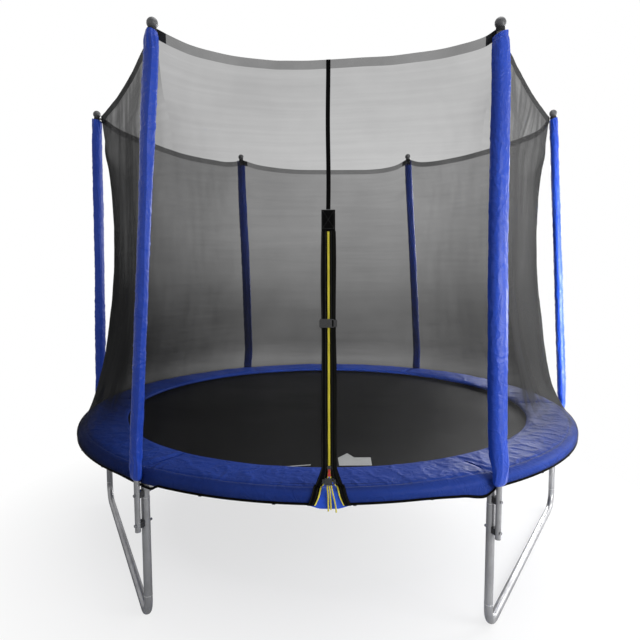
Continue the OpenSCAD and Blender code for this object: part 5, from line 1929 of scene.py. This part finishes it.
    def _spring_path(self) -> Points:
        """The wire's middle line of the spring that points along +X.

        Returns:
            Its points.
        """
        rise = 3.2
        inner = rounded(np.array([(1350.8, 0, 634), (1350.8, 0, self.rail_z + rise),
                                  (1388, 0, self.rail_z + rise)], float), 3)
        outer = rounded(np.array([(1470, 0, self.rail_z), (1496, 0, self.rail_z),
                                  (1496, 0, 631)], float), 3)
        t = np.linspace(0, self.turns, self.turns * 12 + 1)
        radius = rise + (self.coil - rise) * smooth(t, 0, 0.8)
        radius = radius * (1 - smooth(t, self.turns - 0.8, self.turns))
        along = 1390 + 78 * t / self.turns
        coil = np.stack([along, radius * np.sin(t * 2 * math.pi),
                         self.rail_z + radius * np.cos(t * 2 * math.pi)], -1)
        return np.concatenate([inner[:-1], coil, outer[1:]])


# ------------------------------------------------------------------ caps, foam, rims and cords
@dataclass
class BallCaps:
    """The ball caps on the poles, each with a small notch."""

    ball_z: float = 1710.0
    ball_r: float = 23.5
    mould_line: float = 0.7
    sides: int = 56
    stem: tuple = ((13.0, 1652), (15.2, 1652), (16, 1653), (16, 1690), (15.6, 1692.5))

    def build(self, finishes: Finishes) -> bpy.types.Object:
        """Makes the caps.

        Args:
            finishes: the materials.

        Returns:
            The object.
        """
        ball = [(self.ball_r * math.cos(a) - (self.mould_line if abs(a) < 0.02 else 0),
                 self.ball_z + self.ball_r * math.sin(a))
                for a in np.radians(np.linspace(-44, 90, 26))]
        rows = np.array([*self.stem, *ball])
        data = MeshData()
        for pole in range(POLES):
            data.lathe(rows, pole_matrix(pole, 0.0), self.sides)
            notch = pole_matrix(pole, self.ball_z - 3)
            notch = notch @ Matrix.Rotation(math.radians(-100 - STEP * pole), 4, "Z")
            path = np.array([(self.ball_r - 0.6, w, 0) for w in np.linspace(-5, 5, 7)])
            data.tube(placed(path, notch), 1.6, 8, slot=1)
        LOG.info("ball caps on %d poles", POLES)
        made = data.done("caps", finishes[Kind.CAP], finishes[Kind.PLASTIC], merge=0.01, sharp=30)
        return keep(made, "pole_caps")


@dataclass
class FoamTubes:
    """The foam tubes inside the sleeves; low and high are places along a pole."""

    low: float = -97.0
    high: float = 1626.0
    bore: float = 14.9
    outside: float = 19.9
    end_r: float = 18.4
    softness: float = 0.95

    def build(self, finishes: Finishes) -> bpy.types.Object:
        """Makes the tubes.

        Args:
            finishes: the materials.

        Returns:
            The object.
        """
        data = MeshData()
        places = [self.low, -96.2, -92, 1621, 1625.2, self.high]
        along = np.concatenate([places[:2], np.linspace(-92, 1621, 60), places[-2:]])
        outer = np.interp(along, places, [self.end_r, 19.2, self.outside, self.outside, 19.2,
                                          self.end_r])
        degrees = (np.arange(36) * 10.0)[None]
        for pole in range(POLES):
            matrix = pole_matrix(pole, 0.0)
            data.grid(placed(around(outer[:, None], degrees, along[:, None]), matrix), ring=True)
            inner = around(np.full((2, 1), self.bore), degrees, along[[0, -1], None])
            data.grid(placed(inner, matrix), ring=True, flip=True)
            for end in (0, -1):
                rim = around(np.array([[self.bore], [self.end_r]]), degrees,
                             np.full((2, 1), along[end]))
                data.grid(placed(rim, matrix), ring=True, flip=end == 0)
        made = keep(data.done("foam", finishes[Kind.FOAM], merge=0.01, sharp=60), "foam_tubes")
        LOG.info("foam on %d poles", POLES)
        return made


@dataclass
class JointRims:
    """Bright steel rims where the uprights slide over the leg stubs and into the ring."""

    levels: tuple[float, float] = (89.0, 542.0)
    radius: float = 19.1
    bead: float = 0.8

    def build(self, finishes: Finishes) -> bpy.types.Object:
        """Makes the rims.

        Args:
            finishes: the materials.

        Returns:
            The object.
        """
        data = MeshData()
        degrees = np.arange(48) * 7.5
        for pole in range(POLES):
            place = (Matrix.Rotation(math.radians(STEP * pole), 4, "Z")
                     @ Matrix.Translation((LEG_R, 0, 0)))
            for level in self.levels:
                ring = around(np.full(48, self.radius), degrees, np.full(48, level))
                data.tube(placed(ring, place), self.bead, 8, closed=True)
        LOG.info("rims on %d uprights", POLES)
        return keep(data.done("leg_joint_rims", finishes[Kind.RIM], sharp=180))


@dataclass
class PullCord:
    """A loose yellow cord that hangs over the pad's edge below the zip."""

    name: str
    route: tuple[Point, ...]
    diameter: float = 6.0

    def build(self, finishes: Finishes) -> bpy.types.Object:
        """Makes the cord.

        Args:
            finishes: the materials.

        Returns:
            The object.
        """
        turn = Matrix.Rotation(math.radians(DOOR_TURN), 4, "Z")
        path = rounded(np.array([(r, u, z) for u, r, z in self.route], float), 2)
        path = placed(path, turn)
        made = MeshData().tube(path, self.diameter / 2, 12).done(self.name, finishes[Kind.CORD])
        keep(made, "pull_cords")
        path = lifted(path)
        path[0] * MM
        path * MM
        return made


CORDS = (
    PullCord("pull_cord_left", ((-8, 1521, 691), (-8, 1525, 688), (-8, 1532, 685), (-7, 1538, 678),
                                (-6, 1539, 664), (-5, 1539, 648), (-5, 1539, 630), (-4, 1539, 612),
                                (-4, 1539, 596))),
    PullCord("pull_cord_middle", ((0, 1521, 691), (0, 1525, 688), (1, 1532, 685), (2, 1538, 678),
                                  (3, 1539, 664), (4, 1539, 648), (5, 1539, 632), (6, 1539, 617),
                                  (6, 1539, 602))),
    PullCord("pull_cord_right", ((8, 1521, 691), (8, 1525, 688), (9, 1532, 685), (11, 1538, 678),
                                 (14, 1539, 664), (18, 1539, 648), (22, 1539, 630), (25, 1539, 611),
                                 (27, 1539, 591))),
)


def main() -> None:
    """Builds the whole look on the frame."""
    logging.basicConfig(level=logging.INFO, format="%(message)s")
    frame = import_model()
    finishes = Finishes()
    Studio().build()
    for cord in CORDS:
        cord.build(finishes)
    Carried(finishes, frame["nodes"]).build()
    for sleeve in SLEEVES:
        sleeve.build(finishes)
    for panel in range(POLES):
        SpringPad(panel).build(finishes)
    shape = NetShape()
    nets = [NetPanel(panel, shape).build(finishes) for panel in range(POLES)]
    fittings = NetFittings(shape, finishes, SCATTER).build()
    for panel, net in enumerate(nets):
        fittings if panel == FRONT else ()
    Bed(finishes, SCATTER).build()
    for part in (BallCaps(), FoamTubes(), JointRims()):
        part.build(finishes)


if __name__ == "__main__":
    main()
